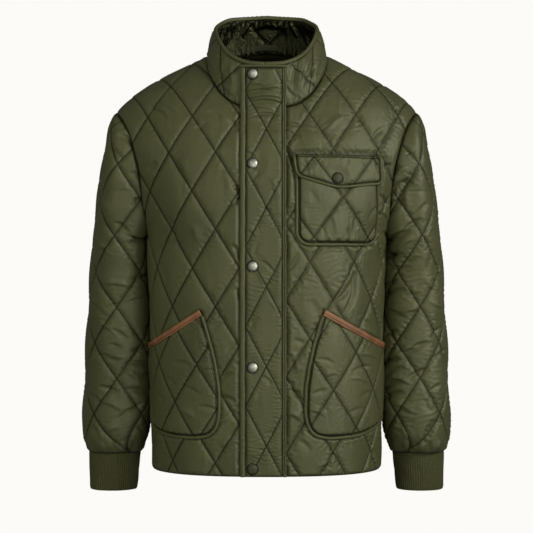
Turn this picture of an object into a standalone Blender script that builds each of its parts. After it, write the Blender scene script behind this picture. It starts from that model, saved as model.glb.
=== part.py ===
"""A quilted jacket with a stand collar, filled out as if worn, and hollow.

Metres, +Z up, +X to the wearer's left, the front faces -Y. The origin is at the neck: midway
between the two high points of the shoulders.

Every panel is cut flat and then placed. A panel has flat coordinates (u, v): u runs round the
body or arm, v up it. A place function takes them to the form that the jacket is filled out to.
The outer face is triangulated on the lattice of its stitch lines, so that each quilted diamond
stands up between them, and the inner face is plain.
"""

import math

import bpy
import numpy as np
from mathutils import Matrix, Vector
from mathutils.geometry import delaunay_2d_cdt

SEAM_GAP = 0.0002  # each piece stops this far short of its seam line
REST_GAP = 0.0005  # between a panel and what lies on it
WALL = 0.002  # cloth at its stitch lines
PUFF = 0.0060  # height of a quilted diamond above its stitch lines
POCKET_PUFF, FLAP_PUFF, COLLAR_PUFF, PLACKET_PUFF = 0.0030, 0.0020, 0.0035, 0.0022
# Each piece's quilting: a crossing of its stitch lines in flat coordinates, and a diamond's size.
QUILTS = {
    "back": ((0.0000, -0.3475), 0.078, 0.123),
    "front_left": ((0.0690, -0.3440), 0.0775, 0.1215),
    "front_right": ((-0.0820, -0.2912), 0.078, 0.124),
    "pocket_left": ((0.1480, -0.4890), 0.082, 0.120),
    "pocket_right": ((-0.1119, -0.5072), 0.080, 0.122),
    "chest_pocket": ((0.1232, -0.2406), 0.097, 0.127),
    "placket": ((-0.0005, -0.3835), 0.066, 0.126),
    "sleeve_left": ((0.0880, -0.4175), 0.074, 0.118),
    "sleeve_right": ((0.0940, -0.4185), 0.082, 0.118),
    "collar": ((0.0000, 0.0180), 0.078, 0.120),
}
OUTER_CUTS = 3  # how many steps a diamond's side is cut into on the outer face
INNER_CUTS = 2  # and on the plain inner face
EDGE_STEP = 0.021  # between the points of an outline

HEM_Z = -0.6845
ARMPIT_Z = -0.300
YOKE_Z = -0.150  # girths are laid level below this height, and profiles run over the shoulder above
SHOULDER_Z = -0.0925  # the shoulder point, where the armhole meets the shoulder seam
FRONT_X = -0.0064  # the two fronts meet here, a little to the wearer's right

ARC = np.linspace(0, math.pi / 2, 49)  # samples along a quarter of a section
STEP = 0.0005  # for slopes


class Table:
    """Rows of sizes under named columns, read as smooth curves of the first column."""

    def __init__(self, columns, rows):
        self.columns = columns.split()
        self.rows = np.array(rows, float)

    def read(self, column, at):
        """The column's value at each height or angle, with no overshoot between rows."""
        x, y = self.rows[:, 0], self.rows[:, self.columns.index(column)]
        slopes = np.diff(y) / np.diff(x)
        turning = slopes[:-1] * slopes[1:] <= 0
        total = np.where(turning, 1, slopes[:-1] + slopes[1:])
        inner = np.where(turning, 0, 2 * slopes[:-1] * slopes[1:] / total)
        tangents = np.concatenate([slopes[:1], inner, slopes[-1:]])
        at = np.clip(np.asarray(at, float), x[0], x[-1])
        i = np.clip(np.searchsorted(x, at) - 1, 0, len(x) - 2)
        width = x[i + 1] - x[i]
        t = (at - x[i]) / width
        return (
            y[i] * (1 + 2 * t) * (1 - t) ** 2
            + y[i + 1] * t * t * (3 - 2 * t)
            + width * (tangents[i] * t * (1 - t) ** 2 + tangents[i + 1] * t * t * (t - 1))
        )


# The body's level sections. front and back are depths from middle_y, and square is the
# section's exponent: 2 is an ellipse, and more is squarer.
BODY = Table(
    "z half_width front back middle_y square",
    [
        (-0.7200, 0.1890, 0.147, 0.141, -0.002, 2.5),
        (-0.6000, 0.1890, 0.147, 0.139, -0.002, 2.5),
        (-0.5000, 0.1910, 0.147, 0.135, -0.002, 2.45),
        (-0.4000, 0.1945, 0.146, 0.135, 0.000, 2.4),
        (-0.3000, 0.2005, 0.146, 0.138, 0.004, 2.35),
        (-0.2500, 0.2220, 0.143, 0.139, 0.005, 2.3),
        (-0.2000, 0.2440, 0.137, 0.137, 0.006, 2.25),
        (-0.1500, 0.2620, 0.127, 0.130, 0.007, 2.2),
        (-0.1200, 0.2635, 0.117, 0.122, 0.008, 2.2),
        (-0.1060, 0.2588, 0.112, 0.117, 0.008, 2.2),
        (-0.0925, 0.2508, 0.107, 0.1125, 0.008, 2.2),
        (-0.0789, 0.2380, 0.100, 0.107, 0.007, 2.2),
        (-0.0653, 0.2210, 0.092, 0.1015, 0.006, 2.2),
        (-0.0517, 0.1998, 0.083, 0.096, 0.005, 2.2),
        (-0.0380, 0.1760, 0.072, 0.090, 0.004, 2.2),
        (-0.0245, 0.1488, 0.060, 0.084, 0.003, 2.2),
        (-0.0109, 0.1224, 0.047, 0.078, 0.001, 2.2),
        (0.0000, 0.1005, 0.037, 0.073, 0.000, 2.2),
        (0.0080, 0.0850, 0.032, 0.070, 0.000, 2.2),
        (0.0200, 0.0620, 0.026, 0.064, 0.000, 2.2),
        (0.0320, 0.0400, 0.020, 0.056, 0.000, 2.2),
    ],
)
# Half the body's width at the armhole seam.
ARMHOLE = Table(
    "z half_width",
    [
        (-0.3000, 0.2005),
        (-0.2800, 0.2008),
        (-0.2500, 0.2025),
        (-0.2000, 0.2075),
        (-0.1500, 0.2200),
        (-0.1220, 0.2310),
        (-0.1060, 0.2405),
        (-0.0925, 0.2508),
    ],
)
# The sleeve's level sections, as the left one. outer, middle and inner are x, inner_y is where
# the section closes below the armpit, and front and back are depths from middle_y.
SLEEVE = Table(
    "z outer middle inner inner_y front back middle_y",
    [
        (-0.6600, 0.2975, 0.2543, 0.2111, 0.000, 0.0350, 0.0350, 0.000),
        (-0.6560, 0.2988, 0.2545, 0.2090, 0.000, 0.0395, 0.0395, 0.000),
        (-0.6490, 0.3004, 0.2545, 0.2055, 0.000, 0.0450, 0.0450, 0.000),
        (-0.6400, 0.3030, 0.2540, 0.2020, 0.001, 0.0495, 0.0495, 0.001),
        (-0.6250, 0.3045, 0.2530, 0.1985, 0.002, 0.0540, 0.0540, 0.002),
        (-0.6000, 0.3048, 0.2522, 0.1965, 0.004, 0.0572, 0.0572, 0.004),
        (-0.5600, 0.3027, 0.2515, 0.1962, 0.007, 0.0597, 0.0597, 0.007),
        (-0.5000, 0.3007, 0.2510, 0.1972, 0.010, 0.0620, 0.0620, 0.010),
        (-0.4200, 0.2967, 0.2502, 0.2002, 0.014, 0.0660, 0.0660, 0.014),
        (-0.3600, 0.2932, 0.2495, 0.2034, 0.012, 0.0710, 0.0710, 0.014),
        (-0.3300, 0.2907, 0.2485, 0.2040, 0.008, 0.0745, 0.0745, 0.012),
        (-0.3120, 0.2890, 0.2475, 0.2042, 0.006, 0.0761, 0.0761, 0.011),
        (-0.3040, 0.2881, 0.2468, 0.2028, 0.005, 0.0768, 0.0768, 0.010),
        (-0.3000, 0.2877, 0.2465, 0.2005, 0.004, 0.0770, 0.0770, 0.010),
        (-0.2500, 0.2817, 0.2445, 0.2025, 0.004, 0.0800, 0.0820, 0.009),
        (-0.2000, 0.2752, 0.2430, 0.2075, 0.004, 0.0790, 0.0820, 0.008),
        (-0.1500, 0.2662, 0.2400, 0.2200, 0.006, 0.0700, 0.0740, 0.008),
        (-0.1220, 0.2630, 0.2420, 0.2310, 0.008, 0.0560, 0.0600, 0.008),
        (-0.1060, 0.2573, 0.2455, 0.2405, 0.008, 0.0400, 0.0400, 0.008),
        (-0.0925, 0.2508, 0.2508, 0.2508, 0.008, 0.0001, 0.0001, 0.008),
    ],
)
SLEEVE_SQUARE = 2.2
CUFF_Z = -0.6600
# The seam round the neck and the collar's rim, seen from above: half width, depth and exponent.
NECK_FRONT, NECK_BACK = (0.0980, 0.0995, 3.2), (0.0980, 0.0660, 2.4)
RIM_FRONT, RIM_BACK = (0.0835, 0.1040, 2.3), (0.0835, 0.0580, 2.3)
# The height of the collar's rim by the angle round the neck from the centre front, in degrees.
RIM = Table(
    "angle z",
    [
        (0, -0.0210),
        (15, -0.0190),
        (30, -0.0118),
        (45, 0.0005),
        (60, 0.0185),
        (75, 0.0370),
        (90, 0.0495),
        (112, 0.0615),
        (140, 0.0742),
        (180, 0.0790),
    ],
)
COLLAR_TURN, COLLAR_HEIGHT = 0.0960, 0.0700  # metres to a radian, and from the seam to the rim
NECK_TAPE_TURN = 80  # degrees each way from the centre back
COLLAR_SWELL = 0.0030  # how far the collar's middle stands out between its seam and its rim
# The lower pocket's curved edge, by the distance from where the fronts meet.
POCKET_EDGE = Table(
    "z from_front",
    [
        (-0.6245, 0.1100),
        (-0.6228, 0.0905),
        (-0.6150, 0.0780),
        (-0.6000, 0.0702),
        (-0.5830, 0.0677),
        (-0.5500, 0.0685),
        (-0.5070, 0.0745),
        (-0.4670, 0.0840),
        (-0.4227, 0.0980),
    ],
)
POCKET_BOTTOM = ((0.1360, -0.6236), (0.1560, -0.6215), (0.1740, -0.6150))  # (from_front, z)
POCKET_SIDE = 0.0180  # from its side edge to the side seam
POCKET_SIDE_Z = (-0.5950, -0.4815)  # where its two ends meet the side seam
POCKET_MOUTH = (0.1850, -0.4770)  # where its mouth turns round the side
LEATHER_WIDTH, LEATHER_WALL = 0.0100, 0.0016
PATCH_LIFT, CHEST_LIFT, PIPING_LIFT = 0.0014, 0.0020, 0.0012
# (from_front, z) of the chest pocket and its flap.
CHEST_POCKET = dict(left=0.0545, right=0.1830, top=-0.1900, bottom=-0.3160, corner=0.0190)
FLAP_LIFT = 0.0068
CHEST_FLAP = ((0.0495, -0.1690), (0.1862, -0.1695), (0.1890, -0.2165), (0.1180, -0.2255), (0.0540, -0.2080))
PLACKET_EDGES = (-0.0330, 0.0250)  # x of the placket's cloth, between its two bands
PLACKET_TOP = 0.0100  # below the collar's rim
PLACKET_LIFT = 0.0012
COLLAR_LOW = -0.1200  # the placket lies on the body alone below this height
COLLAR_TOP = 0.0655  # the height of its cloth: its edge band stands on that
BAND_WIDTHS = (0.0088, 0.0062)  # the free edge's band, and the sewn edge's
SNAP_X = -0.0219
SNAP_HEIGHTS = (-0.0407, -0.1874, -0.3510, -0.5110, -0.6717)
SNAP_RADIUS, SNAP_SIDES = 0.0082, 14
FLAP_SNAP = (0.1180, -0.2110)
CUFF_RIBS = 40
RIB_HEIGHT, CUFF_WALL = 0.0007, 0.0024
# The cuff from its seam down: drop, middle x, half width, half depth, and how far the ribs stand.
CUFF_ROWS = (
    (0.0003, 0.2543, 0.0432, 0.0350, 0.0),
    (0.0060, 0.2548, 0.0422, 0.0346, 1.0),
    (0.0580, 0.2568, 0.0394, 0.0338, 1.0),
    (0.0630, 0.2568, 0.0386, 0.0332, 0.3),
)
SNAP_PROFILE = (
    (0.0, 0.0036), (0.0030, 0.0033), (0.0050, 0.0022), (0.0058, 0.0012),
    (0.0070, 0.0017), (0.0082, 0.0008), (0.0082, 0.0),
)

COLOURS = {
    "shell": ((0.080, 0.080, 0.040, 1), 0.45, 0.0),
    "lining": ((0.045, 0.046, 0.022, 1), 0.30, 0.0),
    "rib": ((0.050, 0.050, 0.024, 1), 0.90, 0.0),
    "leather": ((0.230, 0.090, 0.040, 1), 0.60, 0.0),
    "metal": ((0.300, 0.300, 0.240, 1), 0.35, 1.0),
    "painted": ((0.085, 0.085, 0.045, 1), 0.40, 0.0),
}


# ---------------------------------------------------------------- the form


def travelled(*coordinates):
    """The distance gone along each row of points."""
    steps = np.sqrt(sum(np.diff(c, axis=-1) ** 2 for c in coordinates))
    return np.concatenate([np.zeros_like(steps[..., :1]), np.cumsum(steps, axis=-1)], axis=-1)


def reached(lengths, goal):
    """The fractional column at which each row of growing lengths reaches its goal."""
    column = np.clip((lengths < goal[:, None]).sum(1) - 1, 0, lengths.shape[1] - 2)
    row = np.arange(len(goal))
    low, high = lengths[row, column], lengths[row, column + 1]
    part = (goal - low) / np.maximum(high - low, 1e-9)
    return np.clip(column + part, 0, lengths.shape[1] - 1)


def body_depth(x, z, face):
    """y of the body's surface at x and z. face is -1 for the front and 1 for the back."""
    depth = BODY.read("front" if face < 0 else "back", z)
    square = BODY.read("square", z)
    share = np.clip(np.abs(x) / BODY.read("half_width", z), 0, 1)
    return BODY.read("middle_y", z) + face * depth * (1 - share**square) ** (1 / square)


def girth(z, angle, face):
    """x and y at an angle round the body's level section, from its centre to its side."""
    power = 2 / BODY.read("square", z)
    depth = BODY.read("front" if face < 0 else "back", z)
    x = BODY.read("half_width", z) * np.sin(angle) ** power
    return x, BODY.read("middle_y", z) + face * depth * np.cos(angle) ** power


def ridge_z(x):
    """Height of the shoulder line over x."""
    z = np.linspace(SHOULDER_Z - 0.02, BODY.rows[-1, 0], 400)
    return np.interp(np.abs(x), BODY.read("half_width", z)[::-1], z[::-1])


def profile(x, angle, face):
    """y and z at an angle along the profile that runs over the shoulder from the yoke to its ridge."""
    z = YOKE_Z + (ridge_z(x) - YOKE_Z) * np.sin(angle)
    return body_depth(x, z, face), z


def place_body(face):
    """The place function of the body's front or back. v is the height, up to the yoke."""

    def place(uv):
        u, v = uv[:, 0], uv[:, 1]
        level = np.minimum(v, YOKE_Z)[:, None]
        spread = reached(travelled(*girth(level, ARC, face)), np.abs(u)) * ARC[1]
        x, y = girth(level[:, 0], spread, face)
        over = travelled(*profile(x[:, None], ARC, face))
        climb = reached(over, np.maximum(v - YOKE_Z, 0)) * ARC[1]
        y_over, z_over = profile(x, climb, face)
        above = v > YOKE_Z
        return np.stack(
            [np.copysign(x, u), np.where(above, y_over, y), np.where(above, z_over, v)], axis=1
        )

    return place


def body_uv(x, z, face):
    """The flat coordinates of points of the body's surface."""
    x, z = np.broadcast_arrays(np.asarray(x, float), np.asarray(z, float))
    level = np.minimum(z, YOKE_Z)[:, None]
    share = np.clip(np.abs(x) / BODY.read("half_width", level[:, 0]), 0, 1)
    angle = np.arcsin(share ** (BODY.read("square", level[:, 0]) / 2))
    lengths = travelled(*girth(level, ARC, face))
    u = np.array([np.interp(a, ARC, row) for a, row in zip(angle, lengths)])
    climb = np.arcsin(np.clip((z - YOKE_Z) / (ridge_z(x) - YOKE_Z), 0, 1))
    over = travelled(*profile(x[:, None], ARC, face))
    rise = np.array([np.interp(a, ARC, row) for a, row in zip(climb, over)])
    return np.stack([np.copysign(u, x), level[:, 0] + rise], axis=1)


def sleeve_section(z, face):
    """x and y along the sleeve's level section, from its outer line to its seam or the armhole."""
    outer, middle, inner = (SLEEVE.read(c, z) for c in ("outer", "middle", "inner"))
    middle_y, end_y = SLEEVE.read("middle_y", z), SLEEVE.read("inner_y", z)
    depth = SLEEVE.read("front" if face < 0 else "back", z)
    above = z > ARMPIT_Z
    armhole = ARMHOLE.read("half_width", z)
    inner = np.where(above, armhole, inner)
    end_y = np.where(above, body_depth(armhole, z, face), end_y)
    depth = np.maximum(depth, face * (end_y - middle_y))
    power = 2 / SLEEVE_SQUARE
    front_x = middle + (outer - middle) * np.cos(ARC) ** power
    front_y = middle_y + face * depth * np.sin(ARC) ** power
    turn_x = middle - (middle - inner) * np.sin(ARC) ** power
    turn_y = end_y + (middle_y + face * depth - end_y) * np.cos(ARC) ** power
    x = np.concatenate([front_x, turn_x[:, 1:]], axis=1)
    return x, np.concatenate([front_y, turn_y[:, 1:]], axis=1)


SLEEVE_HEIGHTS = np.linspace(SLEEVE.rows[0, 0], SHOULDER_Z, 600)
SLEEVE_RISE = ARMPIT_Z + travelled(SLEEVE.read("outer", SLEEVE_HEIGHTS), SLEEVE_HEIGHTS)
SLEEVE_RISE -= np.interp(ARMPIT_Z, SLEEVE_HEIGHTS, SLEEVE_RISE) - ARMPIT_Z


def place_sleeve(side):
    """The place function of a sleeve. u is the girth from its outer line, positive to the front."""

    def place(uv):
        u, v = uv[:, 0], uv[:, 1]
        z = np.interp(v, SLEEVE_RISE, SLEEVE_HEIGHTS)
        points = np.empty((len(u), 3))
        for face, chosen in ((-1, u >= 0), (1, u < 0)):
            if not chosen.any():
                continue
            x, y = sleeve_section(z[chosen, None], face)
            at = reached(travelled(x, y), np.abs(u[chosen]))
            low = np.minimum(at.astype(int), x.shape[1] - 2)
            row, part = np.arange(len(at)), at - low
            points[chosen, 0] = side * (x[row, low] * (1 - part) + x[row, low + 1] * part)
            points[chosen, 1] = y[row, low] * (1 - part) + y[row, low + 1] * part
        points[:, 2] = z
        return points

    return place


def oval(degrees, front, back):
    """x and y round an oval, by the angle from the centre front, positive to the left."""
    angle = np.radians(degrees)
    ahead = np.cos(angle) >= 0
    half_width = np.where(ahead, front[0], back[0])
    depth = np.where(ahead, front[1], back[1])
    power = 2 / np.where(ahead, front[2], back[2])
    x = half_width * np.sign(angle) * np.abs(np.sin(angle)) ** power
    return x, -depth * np.sign(np.cos(angle)) * np.abs(np.cos(angle)) ** power


def neck_seam(degrees):
    """Points of the seam round the neck, which lies on the body."""
    x, y = oval(degrees, NECK_FRONT, NECK_BACK)
    z = np.empty(len(x))
    share = np.linspace(0, 1, 160)
    for i, (across, deep) in enumerate(zip(x, y)):
        heights = YOKE_Z + (ridge_z(across) - YOKE_Z) * share
        face = -1 if abs(degrees[i]) <= 90 else 1
        depths = np.abs(body_depth(across, heights, face))
        z[i] = np.interp(-abs(deep), -depths, heights)
    return np.stack([x, y, z], axis=1)


def collar_at(degrees, rise):
    """Points of the collar by the angle from the centre front, positive to the left, and by its
    rise from 0 at the seam to 1 at the rim."""
    x, y = oval(degrees, RIM_FRONT, RIM_BACK)
    rim = np.stack([x, y, RIM.read("z", np.abs(degrees))], axis=1)
    angle, rise = np.radians(degrees), rise[:, None]
    out = np.stack([np.sin(angle), -np.cos(angle), 0 * angle], axis=1)
    seam = neck_seam(degrees)
    return seam + (rim - seam) * rise + out * COLLAR_SWELL * np.sin(math.pi * rise)


def place_collar(uv):
    """u runs round the neck from the centre back, positive to the left, and v up from the seam."""
    turn = np.degrees(uv[:, 0] / COLLAR_TURN)
    degrees = np.where(turn < 0, -1, 1) * (180 - np.abs(turn))
    return collar_at(degrees, uv[:, 1] / COLLAR_HEIGHT)


def collar_angle(x):
    """Roughly the angle round the neck at which the collar's middle crosses an x near the front."""
    half_width = (NECK_FRONT[0] + RIM_FRONT[0]) / 2
    return math.degrees(math.copysign(math.asin((abs(x) / half_width) ** 1.35), x))


def place_placket(uv):
    """u is x and v is z. The placket runs up the body's front and on over the collar's front."""
    x, z = uv[:, 0], uv[:, 1]
    body = body_depth(x, z, -1)
    rise = np.linspace(-0.3, 1, 14)
    collar = np.empty(len(x))
    for i, (across, height) in enumerate(zip(x, z)):
        if height < COLLAR_LOW:
            collar[i] = body[i] + 1
            continue
        line = collar_at(np.full(14, collar_angle(across)), rise)
        collar[i] = np.interp(height, line[:, 2], line[:, 1])
    blend = 0.010
    nearer = np.minimum(body, collar)
    part = np.maximum(blend - np.abs(body - collar), 0) / blend
    return np.stack([x, nearer - part**2 * blend / 4, z], axis=1)


def normals(place, uv, outward):
    """The outward direction at flat points. Slopes are read a little inside the panel's edge."""
    centre = uv.mean(axis=0)
    reach = np.linalg.norm(uv - centre, axis=1)[:, None]
    inside = uv + (centre - uv) * np.minimum(3 * STEP / np.maximum(reach, STEP), 1)
    along = place(inside + (STEP, 0)) - place(inside - (STEP, 0))
    up = place(inside + (0, STEP)) - place(inside - (0, STEP))
    direction = outward * np.cross(along, up)
    return direction / np.linalg.norm(direction, axis=1)[:, None]


# ---------------------------------------------------------------- cutting and sewing


def inset(outline, by):
    """A closed outline, counter-clockwise, moved inwards."""
    before, after = np.roll(outline, 1, axis=0), np.roll(outline, -1, axis=0)
    first, second = outline - before, after - outline
    first /= np.linalg.norm(first, axis=1)[:, None]
    second /= np.linalg.norm(second, axis=1)[:, None]
    mean = first + second
    mean /= np.linalg.norm(mean, axis=1)[:, None]
    stretch = np.maximum((mean * first).sum(1), 0.5)
    return outline + np.stack([-mean[:, 1], mean[:, 0]], axis=1) * (by / stretch)[:, None]


def depth_inside(points, outline):
    """How far each flat point is inside a closed outline: negative outside it."""
    start, end = outline, np.roll(outline, -1, axis=0)
    run = end - start
    offset = points[:, None] - start[None]
    part = np.clip((offset * run).sum(2) / np.maximum((run**2).sum(1), 1e-12), 0, 1)
    away = np.linalg.norm(offset - part[:, :, None] * run, axis=2).min(axis=1)
    crosses = (start[:, 1] > points[:, None, 1]) != (end[:, 1] > points[:, None, 1])
    rise = np.where(run[:, 1] == 0, 1e-12, run[:, 1])
    at = start[:, 0] + (points[:, None, 1] - start[:, 1]) / rise * run[:, 0]
    inside = (crosses & (points[:, None, 0] < at)).sum(1) % 2 == 1
    return np.where(inside, away, -away)


def resample(points, step):
    """An open run of flat points again, about a step apart, with both ends kept."""
    points = np.asarray(points, float)
    lengths = travelled(points[:, 0], points[:, 1])
    at = np.linspace(0, lengths[-1], max(2, round(lengths[-1] / step) + 1))
    return np.stack([np.interp(at, lengths, points[:, k]) for k in range(2)], axis=1)


def loop_of(*runs):
    """Runs of flat points joined end to end into one counter-clockwise outline."""
    points = np.concatenate([run[:-1] for run in runs])
    after = np.roll(points, -1, axis=0)
    area = (points[:, 0] * after[:, 1] - after[:, 0] * points[:, 1]).sum()
    return points if area > 0 else points[::-1]


class Quilt:
    """The stitch lines of a piece, which cross in diamonds."""

    def __init__(self, piece, puff=PUFF):
        self.crossing, self.width, self.height = QUILTS[piece]
        self.puff = puff

    def diagonals(self, uv):
        """How many diamonds each point is from the crossing, along the two sets of lines."""
        across = (uv[:, 0] - self.crossing[0]) / self.width
        up = (uv[:, 1] - self.crossing[1]) / self.height
        return across + up, across - up

    def raised(self, uv):
        """Height of the cloth above its stitch lines."""
        first, second = self.diagonals(uv)
        pillow = np.abs(np.sin(math.pi * first) * np.sin(math.pi * second))
        return self.puff * pillow**0.6

    def lattice(self, outline, cuts, margin):
        """The points that cut each diamond's side into equal steps, inside the outline."""
        reach = np.abs(outline - self.crossing).max(axis=0)
        most = math.ceil(cuts * (reach[0] / self.width + reach[1] / self.height)) + 1
        first, second = np.meshgrid(np.arange(-most, most + 1), np.arange(-most, most + 1))
        across, up = (first + second) / (2 * cuts), (first - second) / (2 * cuts)
        points = np.stack([across.ravel() * self.width, up.ravel() * self.height], axis=1)
        points = points + self.crossing
        boxed = np.all((points > outline.min(0)) & (points < outline.max(0)), axis=1)
        points = points[boxed]
        return points[depth_inside(points, outline) > margin]


def triangulate(outline, inside):
    """Triangles of an outline and the points inside it, as indices into both in turn."""
    points = [Vector(p) for p in np.concatenate([outline, inside])]
    border = [list(range(len(outline)))]
    found = delaunay_2d_cdt(points, [], border, 1, 1e-7)
    source = [ids[0] for ids in found[3]]
    return [[source[i] for i in face] for face in found[2]]


def add_object(name, points, faces, material):
    """A mesh object with its faces pointing out."""
    mesh = bpy.data.meshes.new(name)
    mesh.from_pydata([tuple(p) for p in points], [], faces)
    mesh.materials.append(MATERIALS[material])
    mesh.shade_smooth()
    mesh.set_sharp_from_angle(angle=math.radians(50))
    obj = bpy.data.objects.new(name, mesh)
    bpy.context.scene.collection.objects.link(obj)
    return obj


def sew(
    name, outline, place, outward, quilt,
    material="shell", wall=WALL, lift=0.0, over=None, fade=None, gap=SEAM_GAP,
):
    """One panel of cloth as a closed wall.

    A panel of the form has no lift: its stitch lines lie on the form and its wall goes inwards.
    A piece that lies on another has one, and its underside is that far out. The lift may be a
    function of the flat points. over is the quilt of the panel beneath, whose points the
    underside repeats. fade scales the quilting, 0 to 1.
    """
    outline = inset(outline, gap)
    margin = 0.32 * quilt.width / OUTER_CUTS
    top = quilt.lattice(outline, OUTER_CUTS, margin)
    heights = quilt.raised(top) * np.clip(depth_inside(top, outline) / 0.018, 0, 1) ** 0.5
    if fade is not None:
        heights = heights * fade(top)
    if over is None:
        under = quilt.lattice(outline, INNER_CUTS, 0.008)
    else:
        under = over.lattice(outline, OUTER_CUTS, margin)
    above, below = (wall, 0.0) if lift else (0.0, -wall)
    edge, count = len(outline), len(outline) + len(top)
    flat = np.concatenate([outline, top, outline, under])
    raised = np.concatenate([np.full(edge, above), above + heights, np.full(edge + len(under), below)])
    raised = raised + (lift(flat) if callable(lift) else lift)
    points = place(flat) + normals(place, flat, outward) * raised[:, None]
    faces = [f if outward > 0 else f[::-1] for f in triangulate(outline, top)]
    inner = triangulate(outline, under)
    faces += [[i + count for i in (f[::-1] if outward > 0 else f)] for f in inner]
    for i in range(edge):
        j = (i + 1) % edge
        quad = [j, i, i + count, j + count]
        faces.append(quad if outward > 0 else quad[::-1])
    return add_object(name, points, faces, material)


def strip(name, path, place, outward, section, material, lift=REST_GAP, upright=False):
    """A band or piping along a flat path. section lists (aside, up) points, counter-clockwise.

    Its up is the surface's outward direction, or the surface's own rise where it is upright.
    """
    path = np.asarray(path, float)
    centre = place(path)
    up = place(path + (0, STEP)) - place(path - (0, STEP)) if upright else normals(place, path, outward)
    up /= np.linalg.norm(up, axis=1)[:, None]
    ahead = np.gradient(centre, axis=0)
    ahead /= np.linalg.norm(ahead, axis=1)[:, None]
    aside = np.cross(ahead, up)
    height = lift(path) if callable(lift) else np.full(len(path), lift)
    ring = np.array(section, float)
    points = (
        centre[:, None]
        + aside[:, None] * ring[None, :, :1]
        + up[:, None] * (ring[None, :, 1:] + height[:, None, None])
    ).reshape(-1, 3)
    sides, rows = len(ring), len(path)
    faces = [list(range(sides)), [(rows - 1) * sides + i for i in range(sides)][::-1]]
    for row in range(rows - 1):
        for i in range(sides):
            j = (i + 1) % sides
            faces.append([row * sides + j, row * sides + i, (row + 1) * sides + i, (row + 1) * sides + j])
    return add_object(name, points, faces, material)


def domed(width, height, sides=4):
    """A band's section: flat below and rounded above."""
    angles = np.linspace(0, math.pi, sides - 1)
    return [(-width / 2 * math.cos(a), height * (0.25 + 0.75 * math.sin(a))) for a in angles][::-1] + [
        (-width / 2, 0.0),
        (width / 2, 0.0),
    ]


# ---------------------------------------------------------------- outlines


def seam_heights(low, high, count):
    """Heights along a seam, closer together at both ends, where an armhole turns."""
    part = (1 - np.cos(np.linspace(0, math.pi, count))) / 2
    return low + (high - low) * part


ARMHOLE_HEIGHTS = seam_heights(ARMPIT_Z, SHOULDER_Z, 15)
SIDE_HEIGHTS = np.linspace(HEM_Z, ARMPIT_Z, 20)
SHOULDER_XS = np.linspace(ARMHOLE.rows[-1, 1], NECK_FRONT[0], 9)


def body_side(face):
    """The outline's runs up the side, round the armhole, over the shoulder, in flat points."""
    side = body_uv(BODY.read("half_width", SIDE_HEIGHTS), SIDE_HEIGHTS, face)
    armhole = body_uv(ARMHOLE.read("half_width", ARMHOLE_HEIGHTS), ARMHOLE_HEIGHTS, face)
    shoulder = body_uv(SHOULDER_XS, ridge_z(SHOULDER_XS), face)
    armhole[-1] = shoulder[0]
    return side, armhole, shoulder


def neck_run(degrees, face):
    """The neck seam over a run of angles, in flat points."""
    seam = neck_seam(np.asarray(degrees, float))
    return body_uv(seam[:, 0], seam[:, 2], face)


def front_outline(side):
    """The wearer's left front for side 1, and the right for -1, as the left one's mirror."""
    runs = body_side(-1)
    edge = side * FRONT_X
    angle = math.degrees(math.asin(min(abs(edge) / NECK_FRONT[0], 1) ** (NECK_FRONT[2] / 2)))
    angle = math.copysign(angle, edge)
    neck = neck_run(np.linspace(90, max(angle, 0), 10), -1)
    neck[0] = runs[2][-1]
    top = np.array([[edge, neck[-1, 1]]])
    neck = np.concatenate([neck[: -1 if angle < 0 else -1], top])
    hem = resample([(edge, HEM_Z), (runs[0][0, 0], HEM_Z)], EDGE_STEP)
    front = resample([neck[-1], (edge, HEM_Z)], EDGE_STEP)
    outline = loop_of(hem, *runs, neck, front)
    return outline if side > 0 else (outline * (-1, 1))[::-1]


def back_outline():
    """The whole back: its left half and the mirror of that."""
    side, armhole, shoulder = body_side(1)
    neck = neck_run(np.linspace(90, 180, 9), 1)
    neck[0] = shoulder[-1]
    half = [side, armhole, shoulder, neck]
    mirrored = [(run * (-1, 1))[::-1] for run in half[::-1]]
    hem = resample([mirrored[-1][-1], side[0]], EDGE_STEP)
    return loop_of(hem, *half, *mirrored)


def sleeve_outline():
    """Counter-clockwise: the cuff end, the front seam up to the armhole, its cap and down."""
    lower = np.linspace(CUFF_Z, ARMPIT_Z, 19)
    heights = np.concatenate([lower, ARMHOLE_HEIGHTS[1:-1]])
    runs = []
    for face in (-1, 1):
        u = travelled(*sleeve_section(heights[:, None], face))[:, -1]
        v = np.interp(heights, SLEEVE_HEIGHTS, SLEEVE_RISE)
        runs.append(np.stack([-face * u, v], axis=1))
    top = np.array([[0.0, SLEEVE_RISE[-1]]])
    front = np.concatenate([runs[0], top])
    back = np.concatenate([top, runs[1][::-1]])
    end = resample([back[-1], front[0]], EDGE_STEP / 2)
    return loop_of(end, front, back)


def from_front(points, side):
    """(distance from where the fronts meet, z) as flat points of the front."""
    points = np.asarray(points, float)
    return body_uv(FRONT_X + side * points[:, 0], points[:, 1], -1)


def pocket_curve(side):
    """The lower pocket's piped edge, from the leather's inner end round to the side seam."""
    z = POCKET_EDGE.rows[::-1, 0]
    fine = np.linspace(z[0], z[-1], 60)
    run = np.stack([POCKET_EDGE.read("from_front", fine), fine], axis=1)
    run = np.concatenate([run, POCKET_BOTTOM])
    flat = from_front(run, side)
    end = side_point(POCKET_SIDE_Z[0], side)
    return np.concatenate([flat, [end]])


def side_point(z, side):
    """A flat point of the lower pocket's edge beside the side seam."""
    u = travelled(*girth(np.array([[z]]), ARC, -1))[0, -1]
    return np.array([side * (u - POCKET_SIDE), z])


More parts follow.
